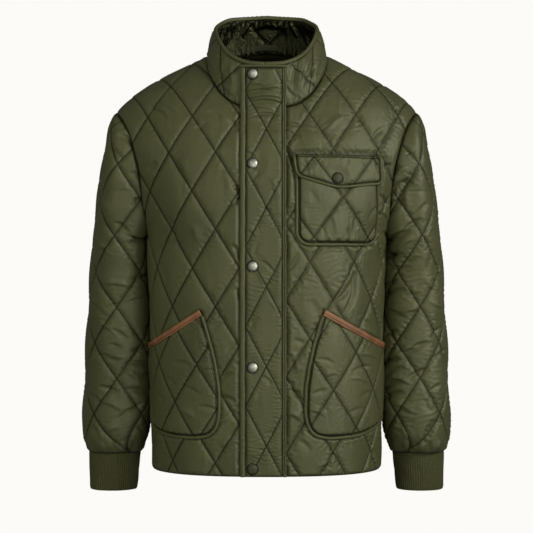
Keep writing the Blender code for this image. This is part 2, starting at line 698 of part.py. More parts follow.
def pocket_mouth(side):
    """The lower pocket's mouth, straight as seen from the front, from the side to its inner end."""
    high, inner = POCKET_EDGE.rows[-1]
    across = np.linspace(FRONT_X + side * inner, side * POCKET_MOUTH[0], 24)
    run = body_uv(across, np.linspace(high, POCKET_MOUTH[1], 24), -1)[::-1]
    return resample(np.concatenate([[side_point(POCKET_SIDE_Z[1], side)], run]), EDGE_STEP)


def rounded_rectangle(left, right, top, bottom, corner):
    """A patch's sides and bottom, with its two lower corners rounded."""
    turn = np.linspace(0, math.pi / 2, 6)
    points = [(left, top)]
    points += [(left + corner * (1 - math.cos(a)), bottom + corner * (1 - math.sin(a))) for a in turn]
    points += [(right - corner * (1 - math.sin(a)), bottom + corner * (1 - math.cos(a))) for a in turn]
    return np.array([*points, (right, top)])


# ---------------------------------------------------------------- the pieces


def clear_start():
    """An empty scene."""
    for obj in list(bpy.data.objects):
        bpy.data.objects.remove(obj)


def make_material(name, colour, roughness, metallic):
    """A plain material under the name of its slot."""
    material = bpy.data.materials.new(name)
    material.use_nodes = True
    shader = material.node_tree.nodes["Principled BSDF"]
    shader.inputs["Base Color"].default_value = colour
    shader.inputs["Roughness"].default_value = roughness
    shader.inputs["Metallic"].default_value = metallic
    material.diffuse_color = colour
    return material


def beside_arm(uv, limit):
    """Quilting is pressed flatter where the body's side and the sleeve face each other."""
    low = uv[:, 1] < ARMPIT_Z + 0.04
    return 1 - 0.9 * low * np.clip((np.abs(uv[:, 0]) - limit + 0.050) / 0.04, 0, 1)


def pressed_under(outlines):
    """A fade that leaves the cloth plain where other pieces lie on it."""

    def fade(uv):
        away = np.min([-depth_inside(uv, outline) for outline in outlines], axis=0)
        return np.clip((away - 0.009) / 0.018, 0, 1)

    return fade


def build_fronts():
    """Both fronts, with their pockets."""
    place = place_body(-1)
    for side, label in ((1, "left"), (-1, "right")):
        quilt = Quilt(f"front_{label}")
        outline = front_outline(side)
        widest = np.abs(outline[:, 0]).max()
        pocket = build_pocket(side, label, place, quilt, Quilt(f"pocket_{label}", POCKET_PUFF))
        covered = [pocket, placket_zone()]
        if side > 0:
            covered += build_chest_pocket(place, quilt)
        plain = pressed_under(covered)
        sew(
            f"front_{label}", outline, place, 1, quilt,
            fade=lambda uv, plain=plain, widest=widest: plain(uv) * beside_arm(uv, widest),
        )


def placket_zone():
    """The flat rectangle that the placket and its bands cover."""
    left, right = PLACKET_EDGES[0] - BAND_WIDTHS[0], PLACKET_EDGES[1] + BAND_WIDTHS[1]
    low, high = HEM_Z - 0.05, 0.05
    return np.array([(left, low), (right, low), (right, high), (left, high)])


def build_pocket(side, label, place, under, quilt):
    """A lower patch pocket: its cloth, its piping and the leather along its slanted mouth."""
    curve = pocket_curve(side)
    mouth = pocket_mouth(side)
    edge = resample(curve, 0.012)
    side_run = resample([curve[-1], mouth[0]], EDGE_STEP)
    outline = loop_of(edge, side_run, mouth)
    patch = inset(outline, 0.0034)
    sew(
        f"pocket_{label}", patch, place, 1, quilt, wall=0.0022, lift=PATCH_LIFT, over=under, gap=0,
        fade=lambda uv: np.clip((run_distance(uv, mouth) - LEATHER_WIDTH) / 0.018, 0, 1),
    )
    piping = trimmed(edge, LEATHER_WIDTH / 2 + 0.0033)
    strip(f"pocket_piping_{label}", piping, place, 1, domed(0.0054, 0.0048), "shell", lift=PIPING_LIFT)
    band = inset_run(mouth, outline, LEATHER_WIDTH / 2 - 0.0030)
    section = [
        (-LEATHER_WIDTH / 2, LEATHER_WALL), (-LEATHER_WIDTH / 2, 0),
        (LEATHER_WIDTH / 2, 0), (LEATHER_WIDTH / 2, LEATHER_WALL),
    ]
    strip(f"pocket_leather_{label}", band, place, 1, section, "leather", lift=0.0046)
    return outline


def run_distance(points, run):
    """How far each flat point is from an open run."""
    closed = np.concatenate([run, run[-2:0:-1]])
    return np.abs(depth_inside(points, closed))


def trimmed(run, by):
    """A run without a length at its start."""
    lengths = travelled(run[:, 0], run[:, 1])
    at = np.concatenate([[by], lengths[lengths > by + 0.002]])
    return np.stack([np.interp(at, lengths, run[:, k]) for k in range(2)], axis=1)


def flap_lift(top):
    """The flap leaves the front at its sewn top and passes over the pocket's bound edge."""
    return lambda uv: np.interp(run_distance(uv, top), (0.0, 0.010), (REST_GAP, FLAP_LIFT))


def inset_run(run, outline, by):
    """A run of an outline's points moved towards the outline's inside."""
    centre = outline.mean(axis=0)
    ahead = np.gradient(run, axis=0)
    aside = np.stack([-ahead[:, 1], ahead[:, 0]], axis=1)
    aside /= np.linalg.norm(aside, axis=1)[:, None]
    inwards = np.sign(((centre - run) * aside).sum(1).sum())
    return run + aside * inwards * by


def build_chest_pocket(place, under):
    """The breast patch pocket, its flap and their bindings."""
    quilt = Quilt("chest_pocket", POCKET_PUFF)
    patch = from_front(rounded_rectangle(**CHEST_POCKET), 1)
    edge = resample(patch, 0.012)
    outline = loop_of(edge, resample([patch[-1], patch[0]], EDGE_STEP))
    inner = inset(outline, 0.0032)
    sew("chest_pocket", inner, place, 1, quilt, wall=0.0020, lift=CHEST_LIFT, over=under, gap=0)
    strip("chest_pocket_binding", edge, place, 1, domed(0.0050, 0.0040), "shell", lift=PIPING_LIFT)
    corners = from_front(CHEST_FLAP, 1)
    hem = np.concatenate([
        resample(corners[[0, 4]], 0.012)[:-1],
        resample(corners[[4, 3]], 0.014)[:-1],
        resample(corners[[3, 2]], 0.014)[:-1],
        resample(corners[[2, 1]], 0.012),
    ])
    top = resample(corners[[1, 0]], EDGE_STEP)
    flap = loop_of(hem, top)
    lift = flap_lift(top)
    snap = from_front([FLAP_SNAP], 1)[0]
    sew(
        "chest_flap", inset(flap, 0.0030), place, 1, Quilt("chest_pocket", FLAP_PUFF),
        wall=0.0020, lift=lift, over=under, gap=0,
        fade=lambda uv: np.clip((np.hypot(*(uv - snap).T) - SNAP_RADIUS - 0.006) / 0.012, 0, 1),
    )
    strip("chest_flap_binding", hem, place, 1, domed(0.0046, 0.0036), "shell", lift=lift)
    build_snap("chest_snap", place, snap, float(lift(snap[None])[0]) + 0.0026, "painted")
    return [outline, flap]


def build_back():
    """The back, in one piece."""
    outline = back_outline()
    widest = outline[:, 0].max()
    sew(
        "back", outline, place_body(1), -1, Quilt("back"),
        fade=lambda uv: beside_arm(uv, widest),
    )


def build_sleeves():
    """Both sleeves, each one piece with its seam under the arm, and their cuffs."""
    for side, label in ((1, "left"), (-1, "right")):
        quilt = Quilt(f"sleeve_{label}")
        sew(
            f"sleeve_{label}", sleeve_outline(), place_sleeve(side), -side, quilt,
            fade=beside_body,
        )
        build_cuff(side, label)


def beside_body(uv):
    """The sleeve's quilting is pressed flatter near its seam, where it faces the body."""
    reach = np.interp(uv[:, 1], (-0.68, -0.55, -0.30, -0.15), (0.115, 0.140, 0.185, 0.30))
    return 1 - 0.9 * np.clip((np.abs(uv[:, 0]) - reach) / 0.03, 0, 1)


def build_cuff(side, label):
    """A tube of ribbed knit, with its ribs on the outside."""
    turn = np.linspace(0, 2 * math.pi, 2 * CUFF_RIBS, endpoint=False)
    rib = np.where(np.arange(2 * CUFF_RIBS) % 2, RIB_HEIGHT, 0.0)
    outer, inner = [], []
    for drop, middle, half_width, half_depth, ribbed in CUFF_ROWS:
        z = CUFF_Z - drop
        for ring, offset, angles in (
            (outer, rib * ribbed, turn), (inner, -CUFF_WALL, turn[::2]),
        ):
            x = middle + (half_width + offset) * np.cos(angles)
            y = (half_depth + offset) * np.sin(angles)
            ring.append(np.stack([side * x, y, np.full(len(angles), z)], axis=1))
    inner = [inner[0], inner[-1]]
    points = np.concatenate(outer + inner)
    count, base = 2 * CUFF_RIBS, 2 * CUFF_RIBS * len(outer)
    faces = []
    for row in range(len(outer) - 1):
        for i in range(count):
            j = (i + 1) % count
            faces.append([row * count + j, row * count + i, (row + 1) * count + i, (row + 1) * count + j])
    last = (len(outer) - 1) * count
    for i in range(CUFF_RIBS):
        j = (i + 1) % CUFF_RIBS
        ends = (2 * i, 2 * i + 1, 2 * j)
        top, low = (base + i, base + j), (base + CUFF_RIBS + i, base + CUFF_RIBS + j)
        faces.append([top[0], top[1], low[1], low[0]])
        faces.append([ends[0], ends[1], ends[2], top[1], top[0]])
        faces.append([last + ends[2], last + ends[1], last + ends[0], low[0], low[1]])
    if side < 0:
        faces = [face[::-1] for face in faces]
    add_object(f"cuff_{label}", points, faces, "rib")


def collar_run(step):
    """Flat u from where the collar's right end is to where its left end is."""
    reach = -math.radians(abs(collar_angle(FRONT_X)))
    left, right = math.pi - reach, math.pi + reach
    count = round((left + right) * COLLAR_TURN / step) + 1
    return np.linspace(-right, left, count) * COLLAR_TURN


def collar_outline(low, high):
    """The collar's outline between two heights above its seam."""
    run = collar_run(0.014)
    bottom = np.stack([run, np.full(len(run), low)], axis=1)
    top = np.stack([run, np.full(len(run), high)], axis=1)[::-1]
    right = resample([top[-1], bottom[0]], EDGE_STEP)
    left = resample([bottom[-1], top[0]], EDGE_STEP)
    return loop_of(bottom, left, top, right)


def under_placket(uv):
    """The collar is plain where the placket runs over it."""
    limit = COLLAR_TURN * (math.pi - math.radians(collar_angle(PLACKET_EDGES[1] + 0.024)))
    return np.clip((limit - np.abs(uv[:, 0])) / 0.010, 0, 1)


def build_collar():
    """The stand collar, its lining, the band over both along the rim, and the tape inside."""
    quilt = Quilt("collar", COLLAR_PUFF)
    sew("collar", collar_outline(0.0012, COLLAR_TOP), place_collar, -1, quilt, fade=under_placket)
    sew(
        "collar_lining", collar_outline(0.0012, COLLAR_TOP), place_collar, 1, quilt,
        material="lining", wall=0.0014, lift=WALL + 0.0003,
    )
    run = collar_run(0.014)
    rim = np.stack([run, np.full(len(run), COLLAR_TOP + 0.0003)], axis=1)
    section = [(x - 0.0004, y) for x, y in domed(0.0062, COLLAR_HEIGHT - COLLAR_TOP)]
    strip("collar_edge", rim, place_collar, -1, section, "shell", lift=0.0, upright=True)
    half = math.radians(NECK_TAPE_TURN) * COLLAR_TURN
    run = np.linspace(-half, half, 22)
    seam = np.stack([run, np.full(len(run), 0.0060)], axis=1)
    strip("neck_tape", seam, place_collar, 1, domed(0.0090, 0.0010), "lining", lift=0.0062)


def placket_quilting(uv):
    """The placket's quilting is pressed flat round its snaps."""
    away = [np.hypot(uv[:, 0] - SNAP_X, uv[:, 1] - height) for height in SNAP_HEIGHTS]
    return np.clip((np.min(away, axis=0) - SNAP_RADIUS - 0.018) / 0.012, 0, 1)


def build_placket():
    """The strip over the front opening, its bound edges and its snaps."""
    left, right = PLACKET_EDGES
    low, high = HEM_Z + 0.0002, float(RIM.read("z", 0)) - PLACKET_TOP
    sides = [(left, low), (right, low), (right, high), (left, high)]
    runs = [resample([sides[i], sides[(i + 1) % 4]], 0.0145) for i in range(4)]
    quilt = Quilt("placket", PLACKET_PUFF)
    sew(
        "placket", loop_of(*runs), place_placket, 1, quilt,
        wall=0.0026, lift=PLACKET_LIFT, fade=placket_quilting,
    )
    tall = np.linspace(low, high, 46)
    for label, x, section in (
        ("free", left - BAND_WIDTHS[0] / 2 - 0.0003, domed(BAND_WIDTHS[0], 0.0042)),
        ("sewn", right + BAND_WIDTHS[1] / 2 + 0.0003, twin_domed(BAND_WIDTHS[1], 0.0040)),
    ):
        path = np.stack([np.full(len(tall), x), tall], axis=1)
        strip(f"placket_band_{label}", path, place_placket, 1, section, "shell", lift=PLACKET_LIFT)
    ends = np.linspace(left - BAND_WIDTHS[0], right + BAND_WIDTHS[1], 12)
    path = np.stack([ends, np.full(len(ends), high + 0.0030)], axis=1)
    strip("placket_band_top", path, place_placket, 1, domed(0.0054, 0.0042), "shell", lift=PLACKET_LIFT)
    for number, height in enumerate(SNAP_HEIGHTS, 1):
        material = "painted" if number == len(SNAP_HEIGHTS) else "metal"
        build_snap(f"snap_{number}", place_placket, (SNAP_X, height), PLACKET_LIFT + 0.0030, material)


def twin_domed(width, height):
    """A section of two bands side by side, with a groove between them."""
    half = width / 4
    angles = np.linspace(0, math.pi, 3)
    points = []
    for middle in (half, -half):
        points += [(middle + half * math.cos(a), height * (0.25 + 0.75 * math.sin(a))) for a in angles]
    del points[3]
    return [*points, (-width / 2, 0.0), (width / 2, 0.0)]


def build_snap(name, place, at, lift, material):
    """A pressed cap: a low dome inside a raised ring."""
    at = np.array([at])
    centre, up = place(at)[0], normals(place, at, 1)[0]
    turn = Vector((0, 0, 1)).rotation_difference(Vector(up)).to_matrix().to_4x4()
    stand = Matrix.Translation(Vector(centre + up * lift)) @ turn
    angles = np.linspace(0, 2 * math.pi, SNAP_SIDES, endpoint=False)
    points = [(0, 0, SNAP_PROFILE[0][1])]
    for radius, height in SNAP_PROFILE[1:]:
        points += [(radius * math.cos(a), radius * math.sin(a), height) for a in angles]
    faces = [[0, 1 + i, 1 + (i + 1) % SNAP_SIDES] for i in range(SNAP_SIDES)]
    for row in range(len(SNAP_PROFILE) - 2):
        for i in range(SNAP_SIDES):
            j = (i + 1) % SNAP_SIDES
            high, low = 1 + row * SNAP_SIDES, 1 + (row + 1) * SNAP_SIDES
            faces.append([high + i, low + i, low + j, high + j])
    faces.append([1 + (len(SNAP_PROFILE) - 2) * SNAP_SIDES + i for i in range(SNAP_SIDES)][::-1])
    points = [stand @ Vector(point) for point in points]
    add_object(name, points, faces, material)


MATERIALS = {}


def main():
    clear_start()
    MATERIALS.update({name: make_material(name, *look) for name, look in COLOURS.items()})
    build_back()
    build_fronts()
    build_sleeves()
    build_collar()
    build_placket()


main()
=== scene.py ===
"""A quilted jacket with a stand collar, dressed: nylon shell over wadding, rib cuffs, leather and snaps.

Every panel is cut flat and placed on the form that the jacket is filled out to, as its solid is.
Flat coordinates (u, v) run round the body or arm and up it. The cloth of a panel is cut with spare
length between its stitch lines and then settles over its wadding, which puckers it.
"""

import math

import bpy
import numpy as np
from mathutils import Matrix, Vector
from mathutils.geometry import delaunay_2d_cdt


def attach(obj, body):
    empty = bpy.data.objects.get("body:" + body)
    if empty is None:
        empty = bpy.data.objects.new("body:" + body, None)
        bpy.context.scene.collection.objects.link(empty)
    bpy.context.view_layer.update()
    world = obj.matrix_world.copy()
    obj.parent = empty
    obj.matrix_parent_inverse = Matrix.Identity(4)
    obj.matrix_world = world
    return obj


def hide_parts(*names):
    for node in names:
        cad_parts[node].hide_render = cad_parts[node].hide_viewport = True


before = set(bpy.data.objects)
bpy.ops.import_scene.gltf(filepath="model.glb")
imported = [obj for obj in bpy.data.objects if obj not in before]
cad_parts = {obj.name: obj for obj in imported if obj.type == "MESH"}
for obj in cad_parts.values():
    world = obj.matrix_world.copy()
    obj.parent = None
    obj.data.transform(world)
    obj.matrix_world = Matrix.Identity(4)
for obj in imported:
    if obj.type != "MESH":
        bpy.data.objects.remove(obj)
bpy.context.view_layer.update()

SEAM_GAP = 0.0002
REST_GAP = 0.0005
WALL = 0.0020
PUFF, POCKET_PUFF, FLAP_PUFF, COLLAR_PUFF, PLACKET_PUFF = 0.0046, 0.0034, 0.0022, 0.0032, 0.0020
# Each piece's quilting: a crossing of its stitch lines in flat coordinates, and a diamond's size.
QUILTS = {
    "back": ((0.0000, -0.3475), 0.078, 0.123),
    "front_left": ((0.0690, -0.3440), 0.0775, 0.1215),
    "front_right": ((-0.0820, -0.2912), 0.078, 0.124),
    "pocket_left": ((0.1480, -0.4890), 0.082, 0.120),
    "pocket_right": ((-0.1119, -0.5072), 0.080, 0.122),
    "chest_pocket": ((0.1232, -0.2406), 0.097, 0.127),
    "placket": ((-0.0005, -0.3835), 0.066, 0.126),
    "sleeve_left": ((0.0880, -0.4175), 0.074, 0.118),
    "sleeve_right": ((0.0940, -0.4185), 0.082, 0.118),
    "collar": ((0.0000, 0.0180), 0.078, 0.120),
}
# Steps along a diamond's side on the outer face.
OUTER_CUTS = {"back": 26, "pocket": 36, "chest_pocket": 42, "placket": 44, "collar": 40}
USUAL_CUTS = 30
INNER_CUTS = 6  # and on the inner one
SWELL_REACHES = 0.0018, 0.0100  # how far the steep and the soft rise from a stitch line reach
EDGE_STEP = 0.0036
# The cloth's settling: its steps, the share of its motion that a step keeps, how firmly the wadding
# holds it and lifts it, how stiff it is to bend, and how far it may leave the wadding.
STEPS, DAMPING = 75, 0.9
WADDING, LIFT_A_STEP, BEND_STIFFNESS = 0.012, 0.00001, 0.3
MOST_ABOVE, MOST_BELOW = 0.0024, 0.0002
START_WAVES = 0.0005, 0.011  # the height and the length of the waves that it starts with

HEM_Z = -0.6845
ARMPIT_Z = -0.300
YOKE_Z = -0.150
SHOULDER_Z = -0.0925
FRONT_X = -0.0064

VIEW_HEIGHT, VIEW_DISTANCE, VIEW_HALF = -0.351, 2.6, 0.4477  # the camera, and half of what it sees at y = 0

ARC = np.linspace(0, math.pi / 2, 49)
STEP = 0.0005


class Table:
    """Rows of sizes under named columns, read as smooth curves of the first column."""

    def __init__(self, columns, rows):
        self.columns = columns.split()
        self.rows = np.array(rows, float)

    def read(self, column, at):
        """The column's value at each height or angle, with no overshoot between rows."""
        x, y = self.rows[:, 0], self.rows[:, self.columns.index(column)]
        slopes = np.diff(y) / np.diff(x)
        turning = slopes[:-1] * slopes[1:] <= 0
        total = np.where(turning, 1, slopes[:-1] + slopes[1:])
        inner = np.where(turning, 0, 2 * slopes[:-1] * slopes[1:] / total)
        tangents = np.concatenate([slopes[:1], inner, slopes[-1:]])
        at = np.clip(np.asarray(at, float), x[0], x[-1])
        i = np.clip(np.searchsorted(x, at) - 1, 0, len(x) - 2)
        width = x[i + 1] - x[i]
        t = (at - x[i]) / width
        return (
            y[i] * (1 + 2 * t) * (1 - t) ** 2
            + y[i + 1] * t * t * (3 - 2 * t)
            + width * (tangents[i] * t * (1 - t) ** 2 + tangents[i + 1] * t * t * (t - 1))
        )


BODY = Table(
    "z half_width front back middle_y square",
    [
        (-0.7200, 0.1890, 0.147, 0.141, -0.002, 2.5),
        (-0.6000, 0.1890, 0.147, 0.139, -0.002, 2.5),
        (-0.5000, 0.1910, 0.147, 0.135, -0.002, 2.45),
        (-0.4000, 0.1945, 0.146, 0.135, 0.000, 2.4),
        (-0.3000, 0.2005, 0.146, 0.138, 0.004, 2.35),
        (-0.2500, 0.2220, 0.143, 0.139, 0.005, 2.3),
        (-0.2000, 0.2440, 0.137, 0.137, 0.006, 2.25),
        (-0.1500, 0.2620, 0.127, 0.130, 0.007, 2.2),
        (-0.1200, 0.2635, 0.117, 0.122, 0.008, 2.2),
        (-0.1060, 0.2588, 0.112, 0.117, 0.008, 2.2),
        (-0.0925, 0.2508, 0.107, 0.1125, 0.008, 2.2),
        (-0.0789, 0.2380, 0.100, 0.107, 0.007, 2.2),
        (-0.0653, 0.2210, 0.092, 0.1015, 0.006, 2.2),
        (-0.0517, 0.1998, 0.083, 0.096, 0.005, 2.2),
        (-0.0380, 0.1760, 0.072, 0.090, 0.004, 2.2),
        (-0.0245, 0.1488, 0.060, 0.084, 0.003, 2.2),
        (-0.0109, 0.1224, 0.047, 0.078, 0.001, 2.2),
        (0.0000, 0.1005, 0.037, 0.073, 0.000, 2.2),
        (0.0080, 0.0850, 0.032, 0.070, 0.000, 2.2),
        (0.0200, 0.0620, 0.026, 0.064, 0.000, 2.2),
        (0.0320, 0.0400, 0.020, 0.056, 0.000, 2.2),
    ],
)
ARMHOLE = Table(
    "z half_width",
    [
        (-0.3000, 0.2005), (-0.2800, 0.2008), (-0.2500, 0.2025), (-0.2000, 0.2075),
        (-0.1500, 0.2200), (-0.1220, 0.2310), (-0.1060, 0.2405), (-0.0925, 0.2508),
    ],
)
SLEEVE = Table(
    "z outer middle inner inner_y front back middle_y",
    [
        (-0.6600, 0.2975, 0.2543, 0.2111, 0.000, 0.0350, 0.0350, 0.000),
        (-0.6560, 0.2988, 0.2545, 0.2090, 0.000, 0.0395, 0.0395, 0.000),
        (-0.6490, 0.3004, 0.2545, 0.2055, 0.000, 0.0450, 0.0450, 0.000),
        (-0.6400, 0.3030, 0.2540, 0.2020, 0.001, 0.0495, 0.0495, 0.001),
        (-0.6250, 0.3045, 0.2530, 0.1985, 0.002, 0.0540, 0.0540, 0.002),
        (-0.6000, 0.3048, 0.2522, 0.1965, 0.004, 0.0572, 0.0572, 0.004),
        (-0.5600, 0.3027, 0.2515, 0.1962, 0.007, 0.0597, 0.0597, 0.007),
        (-0.5000, 0.3007, 0.2510, 0.1972, 0.010, 0.0620, 0.0620, 0.010),
        (-0.4200, 0.2967, 0.2502, 0.2002, 0.014, 0.0660, 0.0660, 0.014),
        (-0.3600, 0.2932, 0.2495, 0.2034, 0.012, 0.0710, 0.0710, 0.014),
        (-0.3300, 0.2907, 0.2485, 0.2040, 0.008, 0.0745, 0.0745, 0.012),
        (-0.3120, 0.2890, 0.2475, 0.2042, 0.006, 0.0761, 0.0761, 0.011),
        (-0.3040, 0.2881, 0.2468, 0.2028, 0.005, 0.0768, 0.0768, 0.010),
        (-0.3000, 0.2877, 0.2465, 0.2005, 0.004, 0.0770, 0.0770, 0.010),
        (-0.2500, 0.2817, 0.2445, 0.2025, 0.004, 0.0800, 0.0820, 0.009),
        (-0.2000, 0.2752, 0.2430, 0.2075, 0.004, 0.0790, 0.0820, 0.008),
        (-0.1500, 0.2662, 0.2400, 0.2200, 0.006, 0.0700, 0.0740, 0.008),
        (-0.1220, 0.2630, 0.2420, 0.2310, 0.008, 0.0560, 0.0600, 0.008),
        (-0.1060, 0.2573, 0.2455, 0.2405, 0.008, 0.0400, 0.0400, 0.008),
        (-0.0925, 0.2508, 0.2508, 0.2508, 0.008, 0.0001, 0.0001, 0.008),
    ],
)
SLEEVE_SQUARE = 2.2
CUFF_Z = -0.6600
NECK_FRONT, NECK_BACK = (0.0980, 0.0995, 3.2), (0.0980, 0.0660, 2.4)
RIM_FRONT, RIM_BACK = (0.0835, 0.1040, 2.3), (0.0835, 0.0580, 2.3)
RIM = Table(
    "angle z",
    [
        (0, -0.0210), (15, -0.0190), (30, -0.0118), (45, 0.0005), (60, 0.0185),
        (75, 0.0370), (90, 0.0495), (112, 0.0615), (140, 0.0742), (180, 0.0790),
    ],
)
COLLAR_TURN, COLLAR_HEIGHT = 0.0960, 0.0700
NECK_TAPE_TURN = 80
COLLAR_SWELL = 0.0030
POCKET_EDGE = Table(
    "z from_front",
    [
        (-0.6245, 0.1100), (-0.6228, 0.0905), (-0.6150, 0.0780), (-0.6000, 0.0702), (-0.5830, 0.0677),
        (-0.5500, 0.0685), (-0.5070, 0.0745), (-0.4670, 0.0840), (-0.4227, 0.0980),
    ],
)
POCKET_BOTTOM = ((0.1360, -0.6236), (0.1560, -0.6215), (0.1740, -0.6150))
POCKET_SIDE = 0.0180
POCKET_SIDE_Z = (-0.5950, -0.4815)
POCKET_MOUTH = (0.1850, -0.4770)  # where its mouth turns round the side
LEATHER_WIDTH, LEATHER_WALL, LEATHER_LIFT = 0.0100, 0.0016, 0.0046
PATCH_LIFT, CHEST_LIFT, PIPING_LIFT = 0.0014, 0.0020, 0.0012
CHEST_POCKET = dict(left=0.0545, right=0.1830, top=-0.1900, bottom=-0.3160, corner=0.0190)
FLAP_LIFT = 0.0068
CHEST_FLAP = ((0.0495, -0.1690), (0.1862, -0.1695), (0.1890, -0.2165), (0.1180, -0.2255), (0.0540, -0.2080))
PLACKET_EDGES = (-0.0330, 0.0250)
PLACKET_TOP = 0.0100
PLACKET_LIFT = 0.0012
COLLAR_LOW = -0.1200
COLLAR_TOP = 0.0655
BAND_WIDTHS = (0.0088, 0.0062)
SNAP_X = -0.0219
SNAP_HEIGHTS = (-0.0407, -0.1874, -0.3510, -0.5110, -0.6717)
SNAP_RADIUS = 0.0082
FLAP_SNAP = (0.1180, -0.2110)
FLAP_STITCH = -0.1772
CUFF_RIBS, CUFF_WALL = 66, 0.0024


# ---------------------------------------------------------------- the form


def travelled(*coordinates):
    """The distance gone along each row of points."""
    steps = np.sqrt(sum(np.diff(c, axis=-1) ** 2 for c in coordinates))
    return np.concatenate([np.zeros_like(steps[..., :1]), np.cumsum(steps, axis=-1)], axis=-1)


def reached(lengths, goal):
    """The fractional column at which each row of growing lengths reaches its goal."""
    column = np.clip((lengths < goal[:, None]).sum(1) - 1, 0, lengths.shape[1] - 2)
    row = np.arange(len(goal))
    low, high = lengths[row, column], lengths[row, column + 1]
    part = (goal - low) / np.maximum(high - low, 1e-9)
    return np.clip(column + part, 0, lengths.shape[1] - 1)


def body_depth(x, z, face):
    """y of the body's surface at x and z. face is -1 for the front and 1 for the back."""
    depth = BODY.read("front" if face < 0 else "back", z)
    square = BODY.read("square", z)
    share = np.clip(np.abs(x) / BODY.read("half_width", z), 0, 1)
    return BODY.read("middle_y", z) + face * depth * (1 - share**square) ** (1 / square)


def girth(z, angle, face):
    """x and y at an angle round the body's level section, from its centre to its side."""
    power = 2 / BODY.read("square", z)
    depth = BODY.read("front" if face < 0 else "back", z)
    x = BODY.read("half_width", z) * np.sin(angle) ** power
    return x, BODY.read("middle_y", z) + face * depth * np.cos(angle) ** power


def ridge_z(x):
    """Height of the shoulder line over x."""
    z = np.linspace(SHOULDER_Z - 0.02, BODY.rows[-1, 0], 400)
    return np.interp(np.abs(x), BODY.read("half_width", z)[::-1], z[::-1])


def profile(x, angle, face):
    """y and z at an angle along the profile that runs over the shoulder from the yoke to its ridge."""
    z = YOKE_Z + (ridge_z(x) - YOKE_Z) * np.sin(angle)
    return body_depth(x, z, face), z


def place_body(face):
    """The place function of the body's front or back. v is the height, up to the yoke."""

    def place(uv):
        u, v = uv[:, 0], uv[:, 1]
        level = np.minimum(v, YOKE_Z)[:, None]
        spread = reached(travelled(*girth(level, ARC, face)), np.abs(u)) * ARC[1]
        x, y = girth(level[:, 0], spread, face)
        over = travelled(*profile(x[:, None], ARC, face))
        climb = reached(over, np.maximum(v - YOKE_Z, 0)) * ARC[1]
        y_over, z_over = profile(x, climb, face)
        above = v > YOKE_Z
        return np.stack(
            [np.copysign(x, u), np.where(above, y_over, y), np.where(above, z_over, v)], axis=1
        )

    return place


def body_uv(x, z, face):
    """The flat coordinates of points of the body's surface."""
    x, z = np.broadcast_arrays(np.asarray(x, float), np.asarray(z, float))
    level = np.minimum(z, YOKE_Z)[:, None]
    share = np.clip(np.abs(x) / BODY.read("half_width", level[:, 0]), 0, 1)
    angle = np.arcsin(share ** (BODY.read("square", level[:, 0]) / 2))
    lengths = travelled(*girth(level, ARC, face))
    u = np.array([np.interp(a, ARC, row) for a, row in zip(angle, lengths)])
    climb = np.arcsin(np.clip((z - YOKE_Z) / (ridge_z(x) - YOKE_Z), 0, 1))
    over = travelled(*profile(x[:, None], ARC, face))
    rise = np.array([np.interp(a, ARC, row) for a, row in zip(climb, over)])
    return np.stack([np.copysign(u, x), level[:, 0] + rise], axis=1)


def sleeve_section(z, face):
    """x and y along the sleeve's level section, from its outer line to its seam or the armhole."""
    outer, middle, inner = (SLEEVE.read(c, z) for c in ("outer", "middle", "inner"))
    middle_y, end_y = SLEEVE.read("middle_y", z), SLEEVE.read("inner_y", z)
    depth = SLEEVE.read("front" if face < 0 else "back", z)
    above = z > ARMPIT_Z
    armhole = ARMHOLE.read("half_width", z)
    inner = np.where(above, armhole, inner)
    end_y = np.where(above, body_depth(armhole, z, face), end_y)
    depth = np.maximum(depth, face * (end_y - middle_y))
    power = 2 / SLEEVE_SQUARE
    front_x = middle + (outer - middle) * np.cos(ARC) ** power
    front_y = middle_y + face * depth * np.sin(ARC) ** power
    turn_x = middle - (middle - inner) * np.sin(ARC) ** power
    turn_y = end_y + (middle_y + face * depth - end_y) * np.cos(ARC) ** power
    x = np.concatenate([front_x, turn_x[:, 1:]], axis=1)
    return x, np.concatenate([front_y, turn_y[:, 1:]], axis=1)


SLEEVE_HEIGHTS = np.linspace(SLEEVE.rows[0, 0], SHOULDER_Z, 600)
SLEEVE_RISE = ARMPIT_Z + travelled(SLEEVE.read("outer", SLEEVE_HEIGHTS), SLEEVE_HEIGHTS)
SLEEVE_RISE -= np.interp(ARMPIT_Z, SLEEVE_HEIGHTS, SLEEVE_RISE) - ARMPIT_Z


def place_sleeve(side):
    """The place function of a sleeve. u is the girth from its outer line, positive to the front."""

    def place(uv):
        u, v = uv[:, 0], uv[:, 1]
        z = np.interp(v, SLEEVE_RISE, SLEEVE_HEIGHTS)
        points = np.empty((len(u), 3))
        for face, chosen in ((-1, u >= 0), (1, u < 0)):
            if not chosen.any():
                continue
            x, y = sleeve_section(z[chosen, None], face)
            at = reached(travelled(x, y), np.abs(u[chosen]))
            low = np.minimum(at.astype(int), x.shape[1] - 2)
            row, part = np.arange(len(at)), at - low
            points[chosen, 0] = side * (x[row, low] * (1 - part) + x[row, low + 1] * part)
            points[chosen, 1] = y[row, low] * (1 - part) + y[row, low + 1] * part
        points[:, 2] = z
        return points

    return place


def oval(degrees, front, back):
    """x and y round an oval, by the angle from the centre front, positive to the left."""
    angle = np.radians(degrees)
    ahead = np.cos(angle) >= 0
    half_width = np.where(ahead, front[0], back[0])
    depth = np.where(ahead, front[1], back[1])
    power = 2 / np.where(ahead, front[2], back[2])
    x = half_width * np.sign(angle) * np.abs(np.sin(angle)) ** power
    return x, -depth * np.sign(np.cos(angle)) * np.abs(np.cos(angle)) ** power


